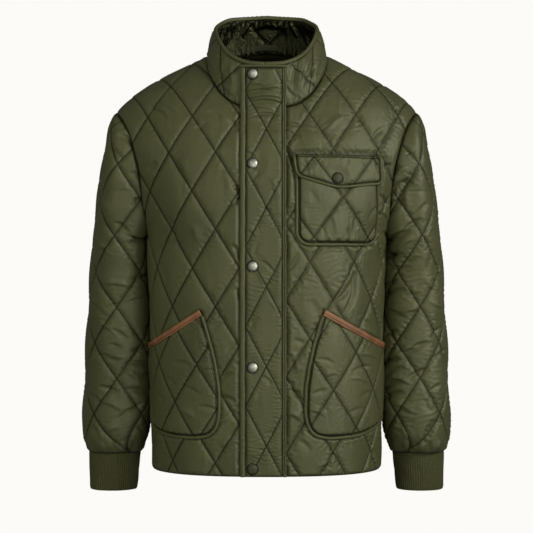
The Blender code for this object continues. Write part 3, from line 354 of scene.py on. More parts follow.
def neck_height(degrees):
    """Heights of the seam round the neck, which lies on the body."""
    x, y = oval(degrees, NECK_FRONT, NECK_BACK)
    z = np.empty(len(x))
    share = np.linspace(0, 1, 160)
    for i, (across, deep) in enumerate(zip(x, y)):
        heights = YOKE_Z + (ridge_z(across) - YOKE_Z) * share
        face = -1 if abs(degrees[i]) <= 90 else 1
        z[i] = np.interp(-abs(deep), -np.abs(body_depth(across, heights, face)), heights)
    return z


NECK_ANGLES = np.linspace(0, 180, 361)
NECK_HEIGHTS = neck_height(NECK_ANGLES)


def neck_seam(degrees):
    """Points of the seam round the neck."""
    x, y = oval(degrees, NECK_FRONT, NECK_BACK)
    return np.stack([x, y, np.interp(np.abs(degrees), NECK_ANGLES, NECK_HEIGHTS)], axis=1)


def collar_at(degrees, rise):
    """Points of the collar by the angle from the centre front, positive to the left, and by its
    rise from 0 at the seam to 1 at the rim."""
    x, y = oval(degrees, RIM_FRONT, RIM_BACK)
    rim = np.stack([x, y, RIM.read("z", np.abs(degrees))], axis=1)
    angle, rise = np.radians(degrees), rise[:, None]
    out = np.stack([np.sin(angle), -np.cos(angle), 0 * angle], axis=1)
    seam = neck_seam(degrees)
    return seam + (rim - seam) * rise + out * COLLAR_SWELL * np.sin(math.pi * rise)


def place_collar(uv):
    """u runs round the neck from the centre back, positive to the left, and v up from the seam."""
    turn = np.degrees(uv[:, 0] / COLLAR_TURN)
    degrees = np.where(turn < 0, -1, 1) * (180 - np.abs(turn))
    return collar_at(degrees, uv[:, 1] / COLLAR_HEIGHT)


def collar_angle(x):
    """Roughly the angle round the neck at which the collar's middle crosses an x near the front."""
    half_width = (NECK_FRONT[0] + RIM_FRONT[0]) / 2
    return np.degrees(np.copysign(np.arcsin((np.abs(x) / half_width) ** 1.35), x))


def place_placket(uv):
    """u is x and v is z. The placket runs up the body's front and on over the collar's front."""
    x, z = uv[:, 0], uv[:, 1]
    body = body_depth(x, z, -1)
    rise = np.linspace(-0.3, 1, 14)
    collar = body + 1
    for i in np.flatnonzero(z >= COLLAR_LOW):
        line = collar_at(np.full(14, float(collar_angle(x[i]))), rise)
        collar[i] = np.interp(z[i], line[:, 2], line[:, 1])
    blend = 0.010
    nearer = np.minimum(body, collar)
    part = np.maximum(blend - np.abs(body - collar), 0) / blend
    return np.stack([x, nearer - part**2 * blend / 4, z], axis=1)


def normals(place, uv, outward):
    """The outward direction at flat points. Slopes are read a little inside the panel's edge."""
    centre = uv.mean(axis=0)
    reach = np.linalg.norm(uv - centre, axis=1)[:, None]
    inside = uv + (centre - uv) * np.minimum(3 * STEP / np.maximum(reach, STEP), 1)
    along = place(inside + (STEP, 0)) - place(inside - (STEP, 0))
    up = place(inside + (0, STEP)) - place(inside - (0, STEP))
    direction = outward * np.cross(along, up)
    return direction / np.linalg.norm(direction, axis=1)[:, None]


# ---------------------------------------------------------------- cutting


def inset(outline, by):
    """A closed outline, counter-clockwise, moved inwards. Points that would cross over are left out."""
    before, after = np.roll(outline, 1, axis=0), np.roll(outline, -1, axis=0)
    first, second = outline - before, after - outline
    first /= np.linalg.norm(first, axis=1)[:, None]
    second /= np.linalg.norm(second, axis=1)[:, None]
    mean = first + second
    mean /= np.linalg.norm(mean, axis=1)[:, None]
    stretch = np.maximum((mean * first).sum(1), 0.5)
    moved = outline + np.stack([-mean[:, 1], mean[:, 0]], axis=1) * (by / stretch)[:, None]
    return moved[depth_inside(moved, outline) >= 0.97 * by - 1e-9]


def depth_inside(points, outline):
    """How far each flat point is inside a closed outline: negative outside it."""
    start, end = outline, np.roll(outline, -1, axis=0)
    run = end - start
    square = np.maximum((run**2).sum(1), 1e-12)
    rise = np.where(run[:, 1] == 0, 1e-12, run[:, 1])
    found = np.empty(len(points))
    for at in range(0, len(points), 3000):
        part = points[at : at + 3000]
        dx, dy = part[:, None, 0] - start[:, 0], part[:, None, 1] - start[:, 1]
        share = np.clip((dx * run[:, 0] + dy * run[:, 1]) / square, 0, 1)
        away = np.sqrt(((dx - share * run[:, 0]) ** 2 + (dy - share * run[:, 1]) ** 2).min(axis=1))
        crosses = (start[:, 1] > part[:, None, 1]) != (end[:, 1] > part[:, None, 1])
        inside = (crosses & (dx < dy / rise * run[:, 0])).sum(1) % 2 == 1
        found[at : at + 3000] = np.where(inside, away, -away)
    return found


def resample(points, step):
    """An open run of flat points again, about a step apart, with both ends kept."""
    points = np.asarray(points, float)
    lengths = travelled(points[:, 0], points[:, 1])
    at = np.linspace(0, lengths[-1], max(2, round(lengths[-1] / step) + 1))
    return np.stack([np.interp(at, lengths, points[:, k]) for k in range(2)], axis=1)


def loop_of(*runs):
    """Runs of flat points joined end to end into one counter-clockwise outline."""
    points = np.concatenate([run[:-1] for run in runs])
    after = np.roll(points, -1, axis=0)
    area = (points[:, 0] * after[:, 1] - after[:, 0] * points[:, 1]).sum()
    return points if area > 0 else points[::-1]


class Quilt:
    """The stitch lines of a piece, which cross in diamonds."""

    def __init__(self, piece, puff=PUFF):
        self.crossing, self.width, self.height = QUILTS[piece]
        self.puff = puff
        self.cuts = OUTER_CUTS.get(piece.removesuffix("_left").removesuffix("_right"), USUAL_CUTS)

    def diagonals(self, uv):
        """How many diamonds each point is from the crossing, along the two sets of lines."""
        across = (uv[:, 0] - self.crossing[0]) / self.width
        up = (uv[:, 1] - self.crossing[1]) / self.height
        return across + up, across - up

    def raised(self, uv):
        """How high the wadding holds the cloth above its stitch lines, from 0 to 1."""
        steep, soft = (
            [1 - np.exp(-away / reach) for away in self.from_lines(uv)[0]] for reach in SWELL_REACHES
        )
        walls = np.prod([0.6 * a + 0.4 * b for a, b in zip(steep, soft)], axis=0)
        first, second = self.diagonals(uv)
        crown = np.sqrt(np.abs(np.sin(math.pi * first) * np.sin(math.pi * second)))
        return walls * (0.62 + 0.38 * crown)

    def from_lines(self, uv):
        """Each point's distance from its nearest line of either set, and the lines' directions."""
        steep = np.array([self.width, self.height]) / math.hypot(self.width, self.height)
        gap = self.width * self.height / math.hypot(self.width, self.height)
        first, second = self.diagonals(uv)
        away = [np.abs(d - np.round(d)) * gap for d in (first, second)]
        return away, (steep * (1, -1), steep)

    def lattice(self, outline, cuts, margin):
        """The points that cut each diamond's side into equal steps, inside the outline."""
        reach = np.abs(outline - self.crossing).max(axis=0)
        most = math.ceil(cuts * (reach[0] / self.width + reach[1] / self.height)) + 1
        first, second = np.meshgrid(np.arange(-most, most + 1), np.arange(-most, most + 1))
        across, up = (first + second) / (2 * cuts), (first - second) / (2 * cuts)
        points = np.stack([across.ravel() * self.width, up.ravel() * self.height], axis=1)
        points = points + self.crossing
        boxed = np.all((points > outline.min(0)) & (points < outline.max(0)), axis=1)
        points = points[boxed]
        return points[depth_inside(points, outline) > margin]


def triangulate(outline, inside):
    """Triangles of an outline and the points inside it, as indices into both in turn."""
    points = [Vector(p) for p in np.concatenate([outline, inside])]
    border = [list(range(len(outline)))]
    found = delaunay_2d_cdt(points, [], border, 1, 1e-7)
    source = np.array([ids[0] for ids in found[3]])
    return source[np.array(found[2])]


# ---------------------------------------------------------------- settling


def noise(flat, size, seed):
    """A smooth uneven field over flat points, mostly from -1 to 1, with waves about a size long."""
    chance = np.random.default_rng(seed)
    total = np.zeros(len(flat))
    for _ in range(14):
        angle, phase = chance.uniform(0, 2 * math.pi, 2)
        wave = 2 * math.pi / (size * chance.uniform(0.7, 1.5))
        total += np.cos(wave * (flat[:, 0] * math.cos(angle) + flat[:, 1] * math.sin(angle)) + phase)
    return total / 14**0.5


def sets_of(a, b, count):
    """A number for each link between points, so that no two links with one number share a point."""
    used = [0] * count
    numbers = np.empty(len(a), int)
    for i, (first, second) in enumerate(zip(a.tolist(), b.tolist())):
        taken = used[first] | used[second]
        free = ~taken & (taken + 1)
        used[first] |= free
        used[second] |= free
        numbers[i] = free.bit_length() - 1
    return numbers


def settle(base, out, faces, flat, height, spare, held, seed):
    """The cloth's points after it has settled over its wadding.

    base and out are its points on the form and the outward directions there, height is how high
    the wadding is under it, spare is its spare length along each flat direction, and held is true
    where it is sewn down.
    """
    ends = np.sort(np.concatenate([faces[:, [0, 1]], faces[:, [1, 2]], faces[:, [2, 0]]]), axis=1)
    tips = np.concatenate([faces[:, 2], faces[:, 0], faces[:, 1]])
    key = ends[:, 0] * len(flat) + ends[:, 1]
    order = np.argsort(key, kind="stable")
    key, ends, tips = key[order], ends[order], tips[order]
    pair = np.flatnonzero(key[1:] == key[:-1])
    single = np.concatenate([[True], key[1:] != key[:-1]])
    full = base + out * height[:, None]
    weight = (~held).astype(float)
    groups = []
    across = np.stack([tips[pair], tips[pair + 1]], axis=1)
    for links, stiff in ((ends[single], 1.0), (across, BEND_STIFFNESS)):
        a, b = links[weight[links].sum(1) > 0].T
        way = flat[b] - flat[a]
        way /= np.linalg.norm(way, axis=1)[:, None]
        rest = np.linalg.norm(full[b] - full[a], axis=1)
        rest = rest * (1 + spare((flat[a] + flat[b]) / 2, way))
        share = stiff / (weight[a] + weight[b])
        numbers = sets_of(a, b, len(flat))
        for number in range(numbers.max() + 1):
            m = np.flatnonzero(numbers == number)
            one, two = a[m], b[m]
            shares = [(weight[end] * share[m])[:, None] for end in (one, two)]
            groups.append((one, two, rest[m], *shares))
    free = weight[:, None]
    x = full + out * (weight * START_WAVES[0] * noise(flat, START_WAVES[1], seed))[:, None]
    old = x.copy()
    for _ in range(STEPS):
        moved = (x - old) * DAMPING
        old = x.copy()
        x = x + moved * free
        above = ((x - base) * out).sum(1)
        x += out * ((height - above) * WADDING + LIFT_A_STEP)[:, None] * free
        for a, b, rest, first, second in groups:
            run = x[b] - x[a]
            pull = run * (1 - rest / np.sqrt((run**2).sum(1)))[:, None]
            x[a] += pull * first
            x[b] -= pull * second
        above = ((x - base) * out).sum(1)
        x -= out * (np.maximum(above - height - MOST_ABOVE, 0) * 0.5)[:, None] * free
        x += out * (np.maximum(-MOST_BELOW - above, 0))[:, None] * free
    return x


# ---------------------------------------------------------------- pieces


def add_piece(name, points, faces, material, uvs=None, face_materials=None):
    """A mesh piece that rides on the jacket and stands for the node of its name. material is one
    name or several, and uvs has named flat maps."""
    mesh = bpy.data.meshes.new(name)
    mesh.from_pydata([tuple(p) for p in points], [], [list(map(int, f)) for f in faces])
    materials = [material] if isinstance(material, str) else material
    for label in materials:
        mesh.materials.append(MATERIALS[label])
    if face_materials is not None:
        mesh.polygons.foreach_set("material_index", face_materials)
    corners = np.empty(len(mesh.loops), int)
    mesh.loops.foreach_get("vertex_index", corners)
    for label, flat in (uvs or {}).items():
        layer = mesh.uv_layers.new(name=label)
        layer.data.foreach_set("uv", np.asarray(flat, float)[corners].ravel())
    mesh.shade_smooth()
    mesh.validate()
    obj = bpy.data.objects.new(name, mesh)
    bpy.context.scene.collection.objects.link(obj)
    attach(obj, "root")
    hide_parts(name.removeprefix("cloth_"))
    return obj


CREASE_RISE = 1.3  # over a crease's stated height
CREASE_BOW = 0.10  # how far a crease bends, over its length
CREASE_SLOPES = 0.65, 1.5  # the widths of its steep and of its soft slope, over its stated width


def creased(flat, rows):
    """How far the listed creases move the cloth out. The rows are those of creases_of. The slope
    that faces down is the steeper one, as where cloth hangs over a fold."""
    moved = np.zeros(len(flat))
    for u, v, long, angle, wide, high in rows:
        high *= CREASE_RISE
        turn = math.radians(angle)
        along = (flat[:, 0] - u) * math.cos(turn) + (flat[:, 1] - v) * math.sin(turn)
        across = (flat[:, 1] - v) * math.cos(turn) - (flat[:, 0] - u) * math.sin(turn)
        bow = across - CREASE_BOW * long * (1 - (2 * along / long) ** 2)
        fade = np.clip(1 - (2 * along / long) ** 2, 0, 1)
        steep = bow * math.copysign(high, math.cos(turn) * high) < 0
        moved += high * fade * np.exp(-((bow / wide / np.where(steep, *CREASE_SLOPES)) ** 2))
    return moved


# Spare length of the quilted cloth: everywhere, and more along a stitch line near it. Each has the
# least there is and how much more there is where it is most uneven.
SPARE_ALL, SPARE_ALONG, SPARE_REACH = (0.006, 0.012), (0.008, 0.052), 0.0075


def sew(
    name, outline, place, outward, quilt, slot="shell", wall=WALL, lift=0.0, fade=None, gap=SEAM_GAP,
    spare=None, creases=(), seed=1, edge_fade=0.0024, seams=(), rumple=1.0,
    material=None, form=None,
):
    """One panel: its quilted cloth outside, its lining inside, and its edge.

    seams lists the runs that its cloth is gathered along, each with its spare length and how far
    that reaches. rumple is how much spare length the quilting has. form is how far the whole wall
    stands out from its place.
    """

    def standing(flat):
        return creased(flat, creases) + (0 if form is None else form(flat))

    outline = inset(outline, gap)
    top = quilt.lattice(outline, quilt.cuts, 0.0014)
    flat = np.concatenate([outline, top])
    count, edge = len(flat), len(outline)
    faces = triangulate(outline, top)
    deep = np.concatenate([np.zeros(edge), depth_inside(top, outline)])
    rise = quilt.raised(flat) * (1 - np.exp(-deep / edge_fade))
    if fade is not None:
        rise = rise * fade(flat)
    rise *= 1 + 0.10 * noise(flat, 0.09, seed + 50)
    above, below = (wall, 0.0) if np.any(lift) or callable(lift) else (0.0, -wall)
    raise_by = lift(flat) if callable(lift) else np.full(count, lift)
    out = normals(place, flat, outward)
    base = place(flat) + out * (raise_by + above + standing(flat))[:, None]
    first, second = quilt.diagonals(flat)
    on_line = np.minimum(np.abs(first - np.round(first)), np.abs(second - np.round(second))) < 0.01
    held = on_line | (deep < 0.0024)
    points = base + out * (rise * quilt.puff)[:, None]

    def slack(middle, way):
        away, lines = quilt.from_lines(middle)
        uneven = 0.5 + 0.5 * np.clip(noise(middle, 0.055, seed + 7), -1, 1)
        total = (SPARE_ALL[0] + SPARE_ALL[1] * uneven) * rumple
        for distance, line in zip(away, lines):
            near = np.exp(-((distance / SPARE_REACH) ** 2)) * rumple
            total += (SPARE_ALONG[0] + SPARE_ALONG[1] * uneven) * near * (way @ line) ** 2
        for run, amount, reach in seams:
            total += gathered(middle, way, run, amount * (0.4 + 1.2 * uneven), reach)
        if spare is not None:
            total += spare(middle, way)
        return total

    points = settle(base, out, faces, flat, rise * quilt.puff, slack, held, seed)
    under = quilt.lattice(outline, INNER_CUTS, 0.006)
    low = np.concatenate([outline, under])
    low_out = normals(place, low, outward)
    low_lift = lift(low) if callable(lift) else np.full(len(low), lift)
    low_points = place(low) + low_out * (low_lift + below + standing(low))[:, None]
    inner = triangulate(outline, under)[:, ::-1] + count
    around = np.arange(edge)
    after = (around + 1) % edge
    rim = np.stack([after, around, around + count, after + count], axis=1)
    if outward < 0:
        faces, inner, rim = faces[:, ::-1], inner[:, ::-1], rim[:, ::-1]
    all_faces = [*faces.tolist(), *inner.tolist(), *rim.tolist()]
    kinds = np.zeros(len(all_faces), int)
    kinds[len(faces) : len(faces) + len(inner)] = 1
    all_flat = np.concatenate([flat, low])
    lines = np.stack(quilt.diagonals(all_flat), axis=1)
    closed = np.concatenate([outline, outline[:1]])
    sewn = np.concatenate([beside(flat, [closed, *(run for run, _, _ in seams)]), low])
    piece = add_piece(
        f"cloth_{name}", np.concatenate([points, low_points]), all_faces,
        [material or slot, "lining_inside"],
        uvs={"quilt": lines, "flat": all_flat, "sewn": sewn}, face_materials=kinds,
    )
    return piece


def waves(along, pitch, seed):
    """Uneven puckers along a run, from -1 to 1."""
    chance = np.random.default_rng(seed)
    total = np.zeros(len(along))
    for _ in range(6):
        total += np.cos(2 * math.pi * along / (pitch * chance.uniform(0.7, 1.7)) + chance.uniform(0, 6.3))
    return total / 6**0.5


def strip(
    name, path, place, outward, section, material, lift=REST_GAP, upright=False, pucker=0.0, pitch=0.006,
    wander=0.0, seed=1,
):
    """A band or piping along a flat path. section lists (aside, up) points, counter-clockwise."""
    path = resample(path, 0.0020)
    centre = place(path)
    up = place(path + (0, STEP)) - place(path - (0, STEP)) if upright else normals(place, path, outward)
    up /= np.linalg.norm(up, axis=1)[:, None]
    ahead = np.gradient(centre, axis=0)
    ahead /= np.linalg.norm(ahead, axis=1)[:, None]
    aside = np.cross(ahead, up)
    height = lift(path) if callable(lift) else np.full(len(path), lift)
    gone = travelled(path[:, 0], path[:, 1])
    swell = 1 + pucker * waves(gone, pitch, seed)
    shift = wander * waves(gone, 0.045, seed + 1)
    ring = np.array(section, float)
    points = (
        centre[:, None]
        + aside[:, None] * (ring[None, :, :1] + shift[:, None, None])
        + up[:, None] * (ring[None, :, 1:] * swell[:, None, None] + height[:, None, None])
    ).reshape(-1, 3)
    sides, rows = len(ring), len(path)
    faces = [list(range(sides)), [(rows - 1) * sides + i for i in range(sides)][::-1]]
    for row in range(rows - 1):
        for i in range(sides):
            j = (i + 1) % sides
            faces.append([row * sides + j, row * sides + i, (row + 1) * sides + i, (row + 1) * sides + j])
    round_by = travelled(ring[:, 0], ring[:, 1])
    flat = np.stack([np.repeat(gone, sides), np.tile(round_by, rows)], axis=1)
    return add_piece(name, points, faces, material, uvs={"flat": flat})


def domed(width, height, sides=11, power=0.8):
    """A band's section: flat below and rounded above."""
    angles = np.linspace(0, math.pi, sides)
    arch = [
        (width / 2 * math.cos(a), height * (0.18 + 0.82 * math.sin(a) ** power)) for a in angles
    ]
    return [*arch, (-width / 2, 0.0), (width / 2, 0.0)]


def twin_domed(width, height):
    """A section of two bands side by side, with a groove between them."""
    half = width / 4
    angles = np.linspace(0, math.pi, 8)
    points = []
    for middle in (half, -half):
        arch = [(middle + half * math.cos(a), height * (0.3 + 0.7 * math.sin(a) ** 0.8)) for a in angles]
        points += arch if middle > 0 else arch[1:]
    return [*points, (-width / 2, 0.0), (width / 2, 0.0)]


# ---------------------------------------------------------------- outlines


def seam_heights(low, high, count):
    """Heights along a seam, closer together at both ends, where an armhole turns."""
    part = (1 - np.cos(np.linspace(0, math.pi, count))) / 2
    return low + (high - low) * part


ARMHOLE_HEIGHTS = seam_heights(ARMPIT_Z, SHOULDER_Z, 70)
SIDE_HEIGHTS = np.linspace(HEM_Z, ARMPIT_Z, 108)
SHOULDER_XS = np.linspace(ARMHOLE.rows[-1, 1], NECK_FRONT[0], 48)


SHOULDER_TIP = body_uv(ARMHOLE.rows[-1:, 1], ARMHOLE.rows[-1:, 0], -1)[0]


def body_side(face):
    """The outline's runs up the side, round the armhole, over the shoulder, in flat points."""
    side = body_uv(BODY.read("half_width", SIDE_HEIGHTS), SIDE_HEIGHTS, face)
    armhole = body_uv(ARMHOLE.read("half_width", ARMHOLE_HEIGHTS), ARMHOLE_HEIGHTS, face)
    shoulder = body_uv(SHOULDER_XS, ridge_z(SHOULDER_XS), face)
    armhole[-1] = shoulder[0]
    return side, armhole, shoulder


def neck_run(degrees, face):
    """The neck seam over a run of angles, in flat points."""
    seam = neck_seam(np.asarray(degrees, float))
    return body_uv(seam[:, 0], seam[:, 2], face)


def front_outline(side):
    """The wearer's left front for side 1, and the right for -1, as the left one's mirror."""
    runs = body_side(-1)
    edge = side * FRONT_X
    angle = math.degrees(math.asin(min(abs(edge) / NECK_FRONT[0], 1) ** (NECK_FRONT[2] / 2)))
    angle = math.copysign(angle, edge)
    neck = neck_run(np.linspace(90, max(angle, 0), 46), -1)
    neck[0] = runs[2][-1]
    top = np.array([[edge, neck[-1, 1]]])
    neck = np.concatenate([neck[:-1], top])
    hem = resample([(edge, HEM_Z), (runs[0][0, 0], HEM_Z)], EDGE_STEP)
    front = resample([neck[-1], (edge, HEM_Z)], EDGE_STEP)
    outline = loop_of(hem, *runs, neck, front)
    return outline if side > 0 else (outline * (-1, 1))[::-1]


def back_outline():
    """The whole back: its left half and the mirror of that."""
    side, armhole, shoulder = body_side(1)
    neck = neck_run(np.linspace(90, 180, 40), 1)
    neck[0] = shoulder[-1]
    half = [side, armhole, shoulder, neck]
    mirrored = [(run * (-1, 1))[::-1] for run in half[::-1]]
    hem = resample([mirrored[-1][-1], side[0]], EDGE_STEP)
    return loop_of(hem, *half, *mirrored)


def sleeve_outline():
    """Counter-clockwise: the cuff end, the front seam up to the armhole, its cap and down."""
    lower = np.linspace(CUFF_Z, ARMPIT_Z, 100)
    heights = np.concatenate([lower, ARMHOLE_HEIGHTS[1:-1]])
    runs = []
    for face in (-1, 1):
        u = travelled(*sleeve_section(heights[:, None], face))[:, -1]
        v = np.interp(heights, SLEEVE_HEIGHTS, SLEEVE_RISE)
        runs.append(np.stack([-face * u, v], axis=1))
    top = np.array([[0.0, SLEEVE_RISE[-1]]])
    front = np.concatenate([runs[0], top])
    back = np.concatenate([top, runs[1][::-1]])
    end = resample([back[-1], front[0]], EDGE_STEP)
    return loop_of(end, front, back)


def from_front(points, side):
    """(distance from where the fronts meet, z) as flat points of the front."""
    points = np.asarray(points, float)
    return body_uv(FRONT_X + side * points[:, 0], points[:, 1], -1)


def pocket_curve(side):
    """The lower pocket's piped edge, from the leather's inner end round to the side seam."""
    z = POCKET_EDGE.rows[::-1, 0]
    fine = np.linspace(z[0], z[-1], 90)
    run = np.stack([POCKET_EDGE.read("from_front", fine), fine], axis=1)
    run = np.concatenate([run, POCKET_BOTTOM])
    flat = from_front(run, side)
    end = side_point(POCKET_SIDE_Z[0], side)
    flat = resample(np.concatenate([flat, [end]]), 0.004)
    smooth = flat.copy()
    for _ in range(6):
        smooth[1:-1] = (smooth[:-2] + 2 * smooth[1:-1] + smooth[2:]) / 4
    return smooth


def side_point(z, side):
    """A flat point of the lower pocket's edge beside the side seam."""
    u = travelled(*girth(np.array([[z]]), ARC, -1))[0, -1]
    return np.array([side * (u - POCKET_SIDE), z])


def pocket_mouth(side):
    """The lower pocket's mouth, straight as seen from the front, from the side to its inner end."""
    high, inner = POCKET_EDGE.rows[-1]
    across = np.linspace(FRONT_X + side * inner, side * POCKET_MOUTH[0], 24)
    run = body_uv(across, np.linspace(high, POCKET_MOUTH[1], 24), -1)[::-1]
    return resample(np.concatenate([[side_point(POCKET_SIDE_Z[1], side)], run]), EDGE_STEP)


def rounded_rectangle(left, right, top, bottom, corner):
    """A patch's sides and bottom, with its two lower corners rounded."""
    turn = np.linspace(0, math.pi / 2, 14)
    points = [(left, top)]
    points += [(left + corner * (1 - math.cos(a)), bottom + corner * (1 - math.sin(a))) for a in turn]
    points += [(right - corner * (1 - math.sin(a)), bottom + corner * (1 - math.cos(a))) for a in turn]
    return np.array([*points, (right, top)])


def run_distance(points, run):
    """How far each flat point is from an open run."""
    closed = np.concatenate([run, run[-2:0:-1]])
    return np.abs(depth_inside(points, closed))


def trimmed(run, by):
    """A run without a length at its start."""
    lengths = travelled(run[:, 0], run[:, 1])
    at = np.concatenate([[by], lengths[lengths > by + 0.002]])
    return np.stack([np.interp(at, lengths, run[:, k]) for k in range(2)], axis=1)


def flap_lift(top):
    """The flap leaves the front at its sewn top and passes over the pocket's bound edge."""
    return lambda uv: np.interp(run_distance(uv, top), (0.0, 0.010), (REST_GAP, FLAP_LIFT))


def inset_run(run, outline, by):
    """A run of an outline's points moved towards the outline's inside."""
    centre = outline.mean(axis=0)
    ahead = np.gradient(run, axis=0)
    aside = np.stack([-ahead[:, 1], ahead[:, 0]], axis=1)
    aside /= np.linalg.norm(aside, axis=1)[:, None]
    inwards = np.sign(((centre - run) * aside).sum(1).sum())
    return run + aside * inwards * by


# ---------------------------------------------------------------- building


def beside_arm(uv, limit):
    """Quilting is pressed flatter where the body's side and the sleeve face each other."""
    low = uv[:, 1] < ARMPIT_Z + 0.04
    return 1 - 0.9 * low * np.clip((np.abs(uv[:, 0]) - limit + 0.050) / 0.04, 0, 1)


def beside_body(uv):
    """The sleeve's quilting is pressed flatter near its seam, where it faces the body."""
    reach = np.interp(uv[:, 1], (-0.68, -0.55, -0.30, -0.15), (0.115, 0.140, 0.185, 0.30))
    return 1 - 0.9 * np.clip((np.abs(uv[:, 0]) - reach) / 0.03, 0, 1)


def towards_body(uv):
    """The sleeve's wadding fills out the turn between its face and the seam beside the body."""
    share = np.interp(uv[:, 1], (-0.645, -0.58, -0.34, -0.20), (0, 1, 1, 0))
    return 0.0065 * share * np.exp(-(((np.abs(uv[:, 0]) - 0.140) / 0.028) ** 2))


def over_cap(uv):
    """The sleeve's quilting is thinner towards the top of the armhole."""
    tip = np.hypot(uv[:, 0], uv[:, 1] - SLEEVE_RISE[-1])
    return np.interp(tip, (0.004, 0.030, 0.100), (0.0, 0.45, 1.0))


def over_shoulder(uv):
    """The body's quilting is thinner towards the shoulder seams, and gone at their outer ends."""
    tip = np.hypot(np.abs(uv[:, 0]) - SHOULDER_TIP[0], uv[:, 1] - SHOULDER_TIP[1])
    thinner = np.interp(uv[:, 1], (-0.16, -0.08), (1.0, 0.5))
    return thinner * np.interp(tip, (0.004, 0.030, 0.090), (0.0, 0.45, 1.0))


def pressed_under(covers):
    """A fade that leaves the cloth plain where other pieces lie on it. covers lists their outlines,
    each with how far round it the cloth takes to rise."""

    def fade(uv):
        shares = [(-depth_inside(uv, outline) - 0.0012) / reach for outline, reach in covers]
        return np.clip(np.min(shares, axis=0), 0, 1)

    return fade


def gathered(middle, way, run, amount, reach):
    """Spare length along a sewn run, which puckers the cloth beside it."""
    coarse = resample(run, 0.010)
    away = run_distance(middle, coarse)
    near = np.flatnonzero(away < 3 * reach)
    ahead = np.gradient(coarse, axis=0)
    ahead /= np.linalg.norm(ahead, axis=1)[:, None]
    closest = [((coarse - point) ** 2).sum(1).argmin() for point in middle[near]]
    closest = np.array(closest, dtype=int)
    total = np.zeros(len(middle))
    share = (way[near] * ahead[closest]).sum(1) ** 2
    total[near] = amount[near] * np.exp(-((away[near] / reach) ** 2)) * share
    return total


def beside(points, runs):
    """Each flat point's place along the nearest run, and its distance from that run."""
    found = np.ones((len(points), 2))
    for number, run in enumerate(runs):
        start, step = run[:-1], np.diff(run, axis=0)
        long = np.linalg.norm(step, axis=1)
        gone = travelled(run[:, 0], run[:, 1])
        for at in range(0, len(points), 2000):
            way = points[at : at + 2000, None] - start
            share = np.clip((way * step).sum(2) / long**2, 0, 1)
            away = np.linalg.norm(way - share[..., None] * step, axis=2)
            row, best = np.arange(len(way)), away.argmin(axis=1)
            along = number * 7.3 + gone[best] + share[row, best] * long[best]
            now = np.stack([along, away[row, best]], axis=1)
            part = found[at : at + 2000]
            part[now[:, 1] < part[:, 1]] = now[now[:, 1] < part[:, 1]]
    return found


def upright_spare(amount):
    """Spare length up and down, which makes level puckers. amount is a function of flat points."""
    return lambda middle, way: amount(middle) * way[:, 1] ** 2


def build_fronts():
    """Both fronts, with their pockets."""
    place = place_body(-1)
    for side, label in ((1, "left"), (-1, "right")):
        outline = front_outline(side)
        widest = np.abs(outline[:, 0]).max()
        pocket, run = build_pocket(side, label, place)
        covered, runs = [(pocket, 0.005), (placket_zone(), 0.0045)], [run]
        if side > 0:
            chest, chest_runs = build_chest_pocket(place)
            covered += chest
            runs += chest_runs
        edge = PLACKET_EDGES[1] + BAND_WIDTHS[1] if side > 0 else PLACKET_EDGES[0] - BAND_WIDTHS[0]
        runs.append(np.array([(edge, HEM_Z), (edge, -0.09)]))
        plain = pressed_under(
            [(resample(np.append(c, c[:1], 0), 0.006)[:-1], reach) for c, reach in covered]
        )
        hem = np.array([(side * 0.01, HEM_Z), (side * widest, HEM_Z)])

        def fade(uv, plain=plain, widest=widest):
            return plain(uv) * beside_arm(uv, widest) * over_shoulder(uv)

        sew(
            f"front_{label}", outline, place, 1, Quilt(f"front_{label}"), seed=11 + side,
            creases=CREASES[f"front_{label}"], rumple=1.35 if side > 0 else 0.9, fade=fade,
            seams=[*((run, 0.035, 0.010) for run in runs), (hem, 0.04, 0.010)],
        )


def placket_zone():
    """The flat rectangle that the placket and its bands cover."""
    left, right = PLACKET_EDGES[0] - BAND_WIDTHS[0], PLACKET_EDGES[1] + BAND_WIDTHS[1]
    low, high = HEM_Z - 0.05, 0.05
    return np.array([(left, low), (right, low), (right, high), (left, high)])


def build_pocket(side, label, place):
    """A lower patch pocket: its cloth, its piping and the leather along its slanted mouth."""
    curve = pocket_curve(side)
    mouth = pocket_mouth(side)
    side_run = resample([curve[-1], mouth[0]], EDGE_STEP)
    outline = loop_of(curve, side_run, mouth)
    piping = strip(
        f"pocket_piping_{label}", trimmed(curve, LEATHER_WIDTH / 2 + 0.0033), place, 1,
        domed(0.0054, 0.0048), "binding", lift=PIPING_LIFT, pucker=0.06, wander=0.0002, seed=20 + side,
    )
    leather = build_leather(side, label, inset_run(mouth, outline, LEATHER_WIDTH / 2 - 0.0030), place)
    sew(
        f"pocket_{label}", inset(outline, 0.0030), place, 1, Quilt(f"pocket_{label}", POCKET_PUFF),
        wall=0.0022, lift=PATCH_LIFT, gap=0, seed=30 + side, edge_fade=0.0020,
        fade=lambda uv: np.clip((run_distance(uv, mouth) - LEATHER_WIDTH) / 0.014, 0, 1),
        seams=[(curve, 0.08, 0.009), (mouth, 0.05, 0.010)], material="pocket",
        creases=CREASES[f"pocket_{label}"],
    )
    return outline, curve


LEATHER_ACROSS = np.array(
    [-1, -0.97, -0.88, -0.66, -0.52, -0.40, -0.28, -0.1, 0.1, 0.4, 0.8, 0.93, 0.985, 1.0]
)
LEATHER_UP = np.array([0.25, 0.70, 0.97, 1.0, 0.80, 0.35, 0.80, 1.04, 1.10, 1.12, 1.04, 0.9, 0.6, 0.2])


def leather_section(side):
    """The leather's section: rounded, with the groove of its stitching near the lower edge."""
    half, high = LEATHER_WIDTH / 2, LEATHER_WALL
    section = [(a * half, u * high) for a, u in zip(LEATHER_ACROSS[::-1], LEATHER_UP[::-1])]
    section += [(-half, 0.0), (half, 0.0)]
    return section if side > 0 else [(-a, u) for a, u in section[::-1]]


